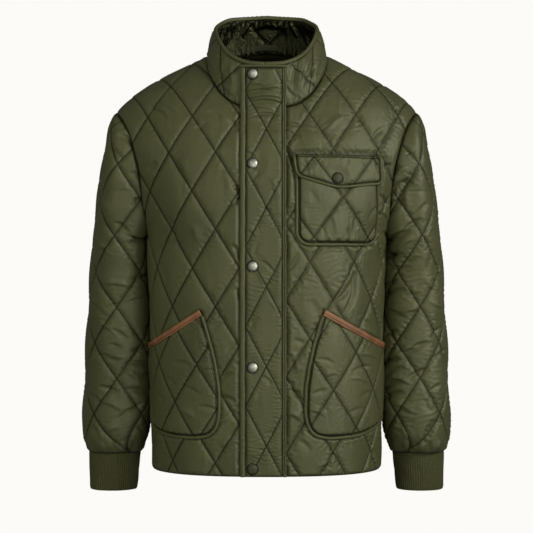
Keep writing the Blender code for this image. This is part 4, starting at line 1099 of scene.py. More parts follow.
def groove_at(side):
    """How far round the leather's section its groove is."""
    ring = np.array(leather_section(side))
    lowest = np.abs(ring - (-side * 0.40 * LEATHER_WIDTH / 2, 0.35 * LEATHER_WALL)).sum(1).argmin()
    return float(travelled(ring[:, 0], ring[:, 1])[lowest])


LEATHER_GROOVES = groove_at(1), groove_at(-1)


def build_leather(side, label, band, place):
    """The leather along a lower pocket's mouth: a folded strip, sewn near its lower edge."""
    return strip(
        f"pocket_leather_{label}", band, place, 1, leather_section(side), "leather", lift=LEATHER_LIFT,
        pucker=0.015, wander=0.0001, seed=5,
    )


def build_chest_pocket(place):
    """The breast patch pocket, its flap and their bindings."""
    patch = from_front(rounded_rectangle(**CHEST_POCKET), 1)
    outline = loop_of(resample(patch, 0.004), resample([patch[-1], patch[0]], EDGE_STEP))
    binding = strip(
        "chest_pocket_binding", patch, place, 1, domed(0.0050, 0.0040), "binding", lift=PIPING_LIFT,
        pucker=0.07, wander=0.0002, seed=41,
    )
    sew(
        "chest_pocket", inset(outline, 0.0032), place, 1, Quilt("chest_pocket", POCKET_PUFF),
        wall=0.0020, lift=CHEST_LIFT, gap=0, seed=42, edge_fade=0.0018,
        seams=[(patch, 0.10, 0.008)], material="pocket", creases=CREASES["chest_pocket"],
    )
    corners = from_front(CHEST_FLAP, 1)
    runs = [resample(corners[[a, b]], 0.003) for a, b in ((0, 4), (4, 3), (3, 2), (2, 1))]
    hem = np.concatenate([*[run[:-1] for run in runs[:3]], runs[3]])
    for _ in range(10):
        hem[1:-1] = (hem[:-2] + 2 * hem[1:-1] + hem[2:]) / 4
    top = resample(corners[[1, 0]], EDGE_STEP)
    flap = loop_of(hem, top)
    lift = flap_lift(top)
    snap = from_front([FLAP_SNAP], 1)[0]
    edge = strip(
        "chest_flap_binding", hem, place, 1, domed(0.0046, 0.0036), "binding", lift=lift, pucker=0.08,
        wander=0.0003, seed=44,
    )
    cap = build_snap("chest_snap", place, snap, float(lift(snap[None])[0]) + 0.0026, "painted")
    sew(
        "chest_flap", inset(flap, 0.0030), place, 1, Quilt("chest_pocket", FLAP_PUFF),
        wall=0.0020, lift=lift, gap=0, seed=45, edge_fade=0.0018,
        fade=lambda uv: np.clip((np.hypot(*(uv - snap).T) - SNAP_RADIUS - 0.003) / 0.010, 0, 1),
        seams=[(hem, 0.08, 0.007), (top, 0.08, 0.008)], material="flap",
        creases=CREASES["chest_flap"],
    )
    return [(outline, 0.006), (flap, 0.0055)], [patch, corners[[0, 1]]]


def build_back():
    """The back, in one piece."""
    outline = back_outline()
    widest = outline[:, 0].max()
    hem = np.array([(-widest, HEM_Z), (widest, HEM_Z)])
    sew(
        "back", outline, place_body(1), -1, Quilt("back"), seed=3, creases=CREASES["back"],
        fade=lambda uv: beside_arm(uv, widest) * over_shoulder(uv), seams=[(hem, 0.05, 0.010)],
    )


def build_sleeves():
    """Both sleeves, each one piece with its seam under the arm, and their cuffs."""
    for side, label in ((1, "left"), (-1, "right")):
        cuff = build_cuff(side, label)
        amount = 0.012 if side > 0 else 0.009

        def rumpled(uv, amount=amount):
            heights, shares = (-0.66, -0.60, -0.45, -0.30, -0.1), (1.2, 1.1, 0.8, 0.6, 0.3)
            return amount * np.interp(uv[:, 1], heights, shares)

        sew(
            f"sleeve_{label}", sleeve_outline(), place_sleeve(side), -side, Quilt(f"sleeve_{label}"),
            seed=60 + side, creases=CREASES[f"sleeve_{label}"], rumple=1.5 if side > 0 else 1.1,
            fade=lambda uv: beside_body(uv) * over_cap(uv),
            spare=upright_spare(rumpled), form=towards_body,
        )


def build_cuff(side, label):
    """A tube of ribbed knit, gathered a little where the sleeve is sewn on."""
    count = CUFF_RIBS * 6
    turn = np.linspace(0, 2 * math.pi, count, endpoint=False)
    phase = np.arange(count) % 6
    rib = np.array([0.0, 0.45, 0.9, 1.0, 0.9, 0.45])[phase] * 0.00085
    drops = [0.0003, 0.002, 0.0040, 0.0070, *np.linspace(0.011, 0.056, 16), 0.0595, 0.0618, 0.0630]
    ribbed = [0.1, 0.5, 0.9, 1.0, *[1.0] * 16, 0.95, 0.7, 0.15]
    half_width = np.interp(drops, (0.0, 0.006, 0.058, 0.063), (0.0432, 0.0422, 0.0394, 0.0384))
    half_depth = np.interp(drops, (0.0, 0.006, 0.058, 0.063), (0.0350, 0.0346, 0.0338, 0.0329))
    middle = np.interp(drops, (0.0, 0.006, 0.058), (0.2543, 0.2548, 0.2568))
    outer = []
    wobble = np.stack([np.cos(turn), np.sin(turn)], axis=1) * 0.05
    for i, drop in enumerate(drops):
        uneven = 0.0004 * noise(wobble + (0, drop), 0.030, 70 + side)
        grow = rib * ribbed[i] + uneven
        x = middle[i] + (half_width[i] + grow) * np.cos(turn)
        y = (half_depth[i] + grow) * np.sin(turn)
        outer.append(np.stack([side * x, y, np.full(count, CUFF_Z - drop)], axis=1))
    inner = []
    for i in range(0, len(drops), 2):
        x = middle[i] + (half_width[i] - CUFF_WALL) * np.cos(turn)
        y = (half_depth[i] - CUFF_WALL) * np.sin(turn)
        inner.append(np.stack([side * x, y, np.full(count, CUFF_Z - drops[i])], axis=1))
    rings = outer + inner[::-1]
    faces = []
    for row in range(len(rings)):
        after = (row + 1) % len(rings)
        for i in range(count):
            j = (i + 1) % count
            faces.append([row * count + j, row * count + i, after * count + i, after * count + j])
    if side < 0:
        faces = [face[::-1] for face in faces]
    around = np.tile(np.arange(count) * (0.25 / count), len(rings))
    down = np.repeat([*drops, *drops[::-2]], count)
    cuff = add_piece(
        f"cuff_{label}", np.concatenate(rings), faces, "rib", uvs={"flat": np.stack([around, down], axis=1)}
    )
    return cuff


def collar_run(step):
    """Flat u from where the collar's right end is to where its left end is."""
    reach = -math.radians(abs(float(collar_angle(FRONT_X))))
    left, right = math.pi - reach, math.pi + reach
    count = round((left + right) * COLLAR_TURN / step) + 1
    return np.linspace(-right, left, count) * COLLAR_TURN


def collar_outline(low, high):
    """The collar's outline between two heights above its seam."""
    run = collar_run(EDGE_STEP)
    bottom = np.stack([run, np.full(len(run), low)], axis=1)
    top = np.stack([run, np.full(len(run), high)], axis=1)[::-1]
    right = resample([top[-1], bottom[0]], EDGE_STEP)
    left = resample([bottom[-1], top[0]], EDGE_STEP)
    return loop_of(bottom, left, top, right)


def under_placket(uv):
    """The collar is plain where the placket runs over it."""
    limit = COLLAR_TURN * (math.pi - math.radians(float(collar_angle(PLACKET_EDGES[1] + 0.018))))
    return np.clip((limit - np.abs(uv[:, 0])) / 0.010, 0, 1)


def build_collar():
    """The stand collar, its lining, the band over both along the rim, and the tape inside."""
    run = collar_run(0.003)
    rim = np.stack([run, np.full(len(run), COLLAR_TOP + 0.0003)], axis=1)
    seam = np.stack([run, np.full(len(run), 0.0012)], axis=1)
    section = [(x - 0.0004, y - 0.0014) for x, y in domed(0.0070, COLLAR_HEIGHT - COLLAR_TOP + 0.0014)]
    edge = strip(
        "collar_edge", rim, place_collar, -1, section, "binding", lift=0.0, upright=True, pucker=0.06,
        wander=0.0002, seed=80,
    )
    sew(
        "collar", collar_outline(0.0003, COLLAR_TOP), place_collar, -1, Quilt("collar", COLLAR_PUFF),
        fade=under_placket, seed=81, creases=CREASES["collar"], edge_fade=0.0020,
        seams=[(rim, 0.03, 0.010), (seam, 0.06, 0.010)],
    )
    half = math.radians(NECK_TAPE_TURN) * COLLAR_TURN
    tape = np.array([(-half, 0.0095), (half, 0.0095)])
    tape = strip(
        "neck_tape", tape, place_collar, 1, domed(0.0104, 0.0010), "tape", lift=0.0062, pucker=0.1
    )
    sew(
        "collar_lining", collar_outline(-0.0030, COLLAR_TOP), place_collar, 1,
        Quilt("collar", COLLAR_PUFF), slot="lining", wall=0.0014, lift=WALL + 0.0003, seed=82,
        creases=CREASES["collar_lining"], edge_fade=0.0018,
        seams=[(rim, 0.12, 0.014), (seam, 0.08, 0.012)],
    )


def placket_quilting(uv):
    """The placket's quilting is pressed flat round its snaps."""
    away = [np.hypot(uv[:, 0] - SNAP_X, uv[:, 1] - height) for height in SNAP_HEIGHTS]
    return np.clip((np.min(away, axis=0) - SNAP_RADIUS - 0.004) / 0.012, 0, 1)


def build_placket():
    """The strip over the front opening, its bound edges and its snaps."""
    left, right = PLACKET_EDGES
    low, high = HEM_Z + 0.0002, float(RIM.read("z", 0)) - PLACKET_TOP
    for label, x, section in (
        ("free", left - BAND_WIDTHS[0] / 2 - 0.0003, domed(BAND_WIDTHS[0], 0.0042)),
        ("sewn", right + BAND_WIDTHS[1] / 2 + 0.0003, twin_domed(BAND_WIDTHS[1], 0.0040)),
    ):
        path = np.array([(x, low), (x, high)])
        strip(
            f"placket_band_{label}", path, place_placket, 1, section, "binding", lift=PLACKET_LIFT,
            pucker=0.05, pitch=0.009, wander=0.0003, seed=90,
        )
    path = np.array([(left - BAND_WIDTHS[0], high + 0.0030), (right + BAND_WIDTHS[1], high + 0.0030)])
    strip(
        "placket_band_top", path, place_placket, 1, domed(0.0054, 0.0042), "binding", lift=PLACKET_LIFT,
        pucker=0.08, pitch=0.005, wander=0.0002, seed=92,
    )
    for number, height in enumerate(SNAP_HEIGHTS, 1):
        material = "painted" if number == len(SNAP_HEIGHTS) else "metal"
        build_snap(
            f"snap_{number}", place_placket, (SNAP_X, height), PLACKET_LIFT + 0.0030, material
        )
    sides = [(left, low), (right, low), (right, high), (left, high)]
    runs = [resample([sides[i], sides[(i + 1) % 4]], EDGE_STEP) for i in range(4)]
    sew(
        "placket", loop_of(*runs), place_placket, 1, Quilt("placket", PLACKET_PUFF),
        wall=0.0026, lift=PLACKET_LIFT, fade=placket_quilting, seed=93, edge_fade=0.0018,
        creases=CREASES["placket"],
        seams=[(runs[1], 0.03, 0.009), (runs[3], 0.03, 0.009)],
    )


SNAP_PROFILE = (
    (0.0, 0.00375), (0.0020, 0.00369), (0.0040, 0.00344), (0.0056, 0.00300), (0.0068, 0.00240),
    (0.0076, 0.00175), (0.0080, 0.00110), (0.0081, 0.00050), (0.0084, 0.00040), (0.0090, 0.00060),
    (0.0095, 0.00055), (0.0098, 0.00030), (0.0098, 0.0),
)
# painted shadow: the dome's edge and the ring round it are near-black for the shade in the gap under the
# dome's edge
SNAP_DARK = 7  # the rows of the profile from here out are the dark ring


def build_snap(name, place, at, lift, material):
    """A pressed cap: a smooth dome inside a thin ring, with the dome's edge and the ring painted near-black
    for the shadow in the gap round the dome.
    """
    at = np.array([at])
    centre, up = place(at)[0], normals(place, at, 1)[0]
    turn = Vector((0, 0, 1)).rotation_difference(Vector(up)).to_matrix().to_4x4()
    stand = Matrix.Translation(Vector(centre + up * lift)) @ turn
    sides = 40
    angles = np.linspace(0, 2 * math.pi, sides, endpoint=False)
    points = [(0, 0, SNAP_PROFILE[0][1])]
    for radius, height in SNAP_PROFILE[1:]:
        points += [(radius * math.cos(a), radius * math.sin(a), height) for a in angles]
    faces = [[0, 1 + i, 1 + (i + 1) % sides] for i in range(sides)]
    for row in range(len(SNAP_PROFILE) - 2):
        for i in range(sides):
            j = (i + 1) % sides
            high, low = 1 + row * sides, 1 + (row + 1) * sides
            faces.append([high + i, low + i, low + j, high + j])
    kinds = [int(i >= sides * SNAP_DARK) for i in range(len(faces))] + [1]
    faces.append([1 + (len(SNAP_PROFILE) - 2) * sides + i for i in range(sides)][::-1])
    points = [stand @ Vector(point) for point in points]
    return add_piece(name, points, faces, [material, "snap_ring"], face_materials=kinds)


# ---------------------------------------------------------------- materials

GLOSS = (0.92, 0.95, 0.68, 1)


def node(tree, kind, inputs=None, **settings):
    """A shader node with its settings and its inputs, which are numbers or other nodes' outputs."""
    made = tree.nodes.new(f"ShaderNode{kind}")
    for key, value in settings.items():
        setattr(made, key, value)
    for key, value in (inputs or {}).items():
        if isinstance(value, bpy.types.NodeSocket):
            tree.links.new(value, made.inputs[key])
        else:
            made.inputs[key].default_value = value
    return made


def maths(tree, operation, *values):
    """The output of a math node."""
    return node(tree, "Math", dict(enumerate(values)), operation=operation).outputs[0]


def times(tree, first, second):
    """One value times another."""
    return maths(tree, "MULTIPLY", first, second)


def plus(tree, first, second):
    """One value plus another."""
    return maths(tree, "ADD", first, second)


def minus(tree, first, second):
    """One value less another."""
    return maths(tree, "SUBTRACT", first, second)


def folded(tree, value, often):
    """A value that rises from 0 to a half and falls again, so often in each unit."""
    return maths(tree, "PINGPONG", times(tree, value, often), 0.5)


def noisy(tree, where, scale, detail):
    """A smooth uneven value over some coordinates."""
    return node(tree, "TexNoise", {"Vector": where, "Scale": scale, "Detail": detail}).outputs["Fac"]


def map_of(tree, name):
    """The two coordinates of one of the piece's flat maps."""
    return node(tree, "SeparateXYZ", {0: node(tree, "UVMap", uv_map=name).outputs[0]}).outputs[:2]


def stretched(tree, first, second, by, by_other):
    """Flat coordinates scaled each way by its own factor."""
    scaled = {0: times(tree, first, by), 1: times(tree, second, by_other)}
    return node(tree, "CombineXYZ", scaled).outputs[0]


def bumped(tree, shader, base, height, strength, distance):
    """The shader's colour and its relief."""
    tree.links.new(base, shader.inputs["Base Color"])
    relief = {"Strength": strength, "Distance": distance, "Height": height}
    tree.links.new(node(tree, "Bump", relief).outputs[0], shader.inputs["Normal"])


def shaded(colour, by):
    """A colour made darker or lighter."""
    return tuple(c * by for c in colour[:3]) + (1,)


def ranged(tree, value, low, high, to_low=0.0, to_high=1.0):
    """A value taken smoothly from one range to another."""
    inputs = {"Value": value, "From Min": low, "From Max": high, "To Min": to_low, "To Max": to_high}
    return node(tree, "MapRange", inputs, interpolation_type="SMOOTHSTEP").outputs[0]


def mixed(tree, share, first, second):
    """Two colours mixed."""
    made = tree.nodes.new("ShaderNodeMix")
    made.data_type = "RGBA"
    made.blend_type = "MIX"
    for index, value in ((0, share), (6, first), (7, second)):
        if isinstance(value, bpy.types.NodeSocket):
            tree.links.new(value, made.inputs[index])
        else:
            made.inputs[index].default_value = value
    return made.outputs[2]


def fresh(name, **sockets):
    """A new material and its shader, with the shader's own sockets set."""
    material = bpy.data.materials.new(name)
    material.use_nodes = True
    shader = material.node_tree.nodes["Principled BSDF"]
    for key, value in sockets.items():
        shader.inputs[key.replace("_", " ").title().replace("Ior", "IOR")].default_value = value
    MATERIALS[name] = material
    return material.node_tree, shader


# The stitches' thread, painted near-black so that it also stands for the shade in their grooves. The cloth
# is darkened towards it as painted shade beside its stitch lines, seams and edges.
THREAD_AND_SHADE = (0.012, 0.0125, 0.005, 1)
WEAVE_PITCH, TOPSTITCH_PITCH = 0.0011, 0.0040


def cloth_material(
    name, colour, roughness, sewn=True, specular=0.5, puckered=0.0, tint=GLOSS, topstitch=0.0
):
    """Woven nylon: fine threads, slight unevenness in its dye, the quilting's stitches and the
    fine puckers beside them and beside the seams, with painted shade beside its stitch lines, seams
    and edges. topstitch is how far a row of stitches is from the piece's edge or, below zero, the
    flat height of a level row."""
    tree, shader = fresh(name, specular_ior_level=specular)
    shader.inputs["Specular Tint"].default_value = tint
    where = node(tree, "TexCoord").outputs["Object"]
    cloud = noisy(tree, where, 9.0, 3.0)
    patches = noisy(tree, where, 30.0, 1.0)
    slub = noisy(tree, where, 240.0, 2.0)
    darker = shaded(colour, 0.88)
    lighter = shaded(colour, 1.12)
    base = mixed(tree, ranged(tree, cloud, 0.3, 0.7), darker, lighter)
    base = mixed(tree, ranged(tree, slub, 0.35, 0.65, 0.0, 0.3), base, darker)
    flat = map_of(tree, "flat")
    threads = [maths(tree, "SINE", times(tree, run, 2 * math.pi / WEAVE_PITCH)) for run in flat]
    weave = times(tree, *threads)
    height = plus(tree, times(tree, weave, 0.05), times(tree, slub, 0.12))
    if sewn:
        lines = map_of(tree, "quilt")
        for this, other in ((0, 1), (1, 0)):
            away = maths(tree, "PINGPONG", lines[this], 0.5)
            dash = folded(tree, lines[other], 24.0)
            # painted shade: each stitch line is painted near-black, for its thread and for the shade at the
            # bottom of its groove, and the cloth darkens towards that colour within a few millimetres of the
            # line
            line = ranged(tree, away, 0.008, 0.018, 1.0, 0.0)
            stitch = times(tree, line, ranged(tree, dash, 0.04, 0.14, 0.65, 1.0))
            groove = ranged(tree, away, 0.008, 0.042, 0.30, 0.0)
            base = mixed(tree, groove, base, THREAD_AND_SHADE)
            base = mixed(tree, times(tree, stitch, 0.88), base, THREAD_AND_SHADE)
            height = minus(tree, height, times(tree, line, 0.7))
            along, across = lines[other], lines[this]
            height = puckers(tree, height, along, across, away, 19.0, 3.0, 0.22, patches, puckered)
        along, away = map_of(tree, "sewn")
        height = puckers(tree, height, along, away, away, 240.0, 40.0, 0.016, patches, puckered)
        # painted shade: the cloth darkens towards the thread's colour within 4.5 mm of its seams and edges
        # and of the pieces sewn onto it
        base = mixed(tree, ranged(tree, away, 0.0008, 0.0045, 0.55, 0.0), base, THREAD_AND_SHADE)
        swept = stretched(tree, *flat, 34.0, 13.0)
        drape = node(
            tree, "TexNoise", {"Vector": swept, "Scale": 1.0, "Detail": 2.5, "Distortion": 0.6}
        )
        height = plus(tree, height, times(tree, drape.outputs["Fac"], 2.2))
    if topstitch:
        place, other = (away, along) if topstitch > 0 else (flat[1], flat[0])
        off = maths(tree, "ABSOLUTE", minus(tree, place, topstitch))
        dash = folded(tree, other, 1 / TOPSTITCH_PITCH)
        row = ranged(tree, off, 0.0008, 0.0016, 1.0, 0.0)
        stitch = times(tree, row, ranged(tree, dash, 0.12, 0.30, 0.15, 1.0))
        base = mixed(tree, times(tree, stitch, 0.95), base, THREAD_AND_SHADE)
        trough = ranged(tree, off, 0.0003, 0.0022, 1.0, 0.0)
        height = minus(tree, height, times(tree, trough, 1.1))
    rough = ranged(tree, cloud, 0.25, 0.75, roughness - 0.05, roughness + 0.05)
    tree.links.new(rough, shader.inputs["Roughness"])
    bumped(tree, shader, base, height, 1.0, 0.0010)


def puckers(tree, height, along, across, away, fine, long, reach, patches, amount):
    """A height with short puckers added beside a line and at right angles to it, each of which
    tapers off over its own length."""
    wave = noisy(tree, stretched(tree, along, across, fine, long), 1.0, 2.0)
    strength = ranged(tree, patches, 0.35, 0.65, 0.25, 1.0)
    wave = times(tree, ranged(tree, wave, 0.34, 0.74), strength)
    wave = maths(tree, "MAXIMUM", minus(tree, wave, maths(tree, "DIVIDE", away, reach)), 0.0)
    return plus(tree, height, times(tree, wave, amount))


def rib_material():
    """Rib knit: rows of small loops across the ribs, with painted shade in the dips between them."""
    tree, shader = fresh("rib", roughness=0.95, specular_ior_level=0.1)
    flat = map_of(tree, "flat")
    across = folded(tree, flat[0], 1 / 0.0019)
    slanted = plus(tree, times(tree, flat[1], 1 / 0.0013), across)
    loops = maths(tree, "PINGPONG", slanted, 0.5)
    where = node(tree, "TexCoord").outputs["Object"]
    fuzz = noisy(tree, where, 420.0, 3.0)
    cloud = noisy(tree, where, 22.0, 3.0)
    # painted shade: the knit is darker where its loops dip, between them
    base = mixed(tree, ranged(tree, loops, 0.05, 0.4), (0.040, 0.041, 0.0155, 1), (0.096, 0.098, 0.040, 1))
    base = mixed(tree, ranged(tree, fuzz, 0.4, 0.75, 0.0, 0.4), base, (0.140, 0.142, 0.065, 1))
    base = mixed(tree, ranged(tree, cloud, 0.35, 0.7, 0.0, 0.3), base, (0.055, 0.055, 0.025, 1))
    bumped(tree, shader, base, plus(tree, loops, times(tree, fuzz, 0.8)), 0.7, 0.0005)


def leather_material():
    """Smooth brown leather with a fine grain, darker in its creases and along its stitching."""
    tree, shader = fresh("leather", specular_ior_level=0.45)
    where = node(tree, "TexCoord").outputs["Object"]
    grain = node(tree, "TexVoronoi", {"Vector": where, "Scale": 900.0}).outputs["Distance"]
    cloud = noisy(tree, where, 45.0, 4.0)
    base = mixed(tree, ranged(tree, cloud, 0.3, 0.7), (0.215, 0.096, 0.041, 1), (0.345, 0.160, 0.072, 1))
    base = mixed(tree, ranged(tree, grain, 0.0, 0.4, 0.35, 0.0), base, (0.08, 0.03, 0.014, 1))
    flat = map_of(tree, "flat")
    dash = folded(tree, flat[0], 1 / 0.0036)
    for groove in LEATHER_GROOVES:
        off = maths(tree, "ABSOLUTE", minus(tree, flat[1], groove))
        row = ranged(tree, off, 0.0004, 0.0011, 1.0, 0.0)
        stitch = times(tree, row, ranged(tree, dash, 0.08, 0.22, 0.45, 0.85))
        base = mixed(tree, stitch, base, (0.045, 0.018, 0.008, 1))
    tree.links.new(ranged(tree, cloud, 0.3, 0.7, 0.42, 0.58), shader.inputs["Roughness"])
    bumped(tree, shader, base, plus(tree, grain, times(tree, cloud, 0.5)), 0.4, 0.0004)


def metal_material(name, colour, metallic, roughness):
    """A snap cap's finish, with faint scuffs."""
    tree, shader = fresh(name, metallic=metallic, specular_ior_level=0.3)
    where = node(tree, "TexCoord").outputs["Object"]
    scuff = noisy(tree, where, 300.0, 5.0)
    darker = shaded(colour, 0.7)
    tree.links.new(mixed(tree, ranged(tree, scuff, 0.35, 0.65), colour, darker), shader.inputs["Base Color"])
    tree.links.new(ranged(tree, scuff, 0.3, 0.7, roughness, roughness + 0.12), shader.inputs["Roughness"])


MATERIALS = {}
SHELL = (0.092, 0.095, 0.0385, 1)
LINING, INSIDE = (0.0030, 0.0032, 0.0010, 1), (0.0070, 0.0073, 0.0024, 1)


def build_materials():
    """Every material, by name."""
    cloth_material("shell", SHELL, 0.39, specular=0.56, puckered=0.65)
    cloth_material("pocket", SHELL, 0.39, specular=0.56, puckered=0.65, topstitch=0.0014)
    cloth_material("flap", SHELL, 0.39, specular=0.56, puckered=0.65, topstitch=FLAP_STITCH)
    cloth_material("binding", SHELL, 0.39, specular=0.50, sewn=False)
    cloth_material("tape", (0.030, 0.031, 0.013, 1), 0.6, sewn=False, specular=0.3)
    cloth_material("lining", LINING, 0.14, specular=0.42, puckered=0.9, tint=(0.80, 0.84, 0.38, 1))
    cloth_material("lining_inside", INSIDE, 0.50, specular=0.15, tint=(0.80, 0.84, 0.40, 1))
    rib_material()
    leather_material()
    metal_material("metal", (0.74, 0.745, 0.60, 1), 1.0, 0.44)
    metal_material("painted", (0.072, 0.076, 0.029, 1), 0.0, 0.42)
    # painted shadow: the snaps' outer ring is near-black for the shade in the gap round each dome
    metal_material("snap_ring", (0.009, 0.0092, 0.005, 1), 0.2, 0.55)
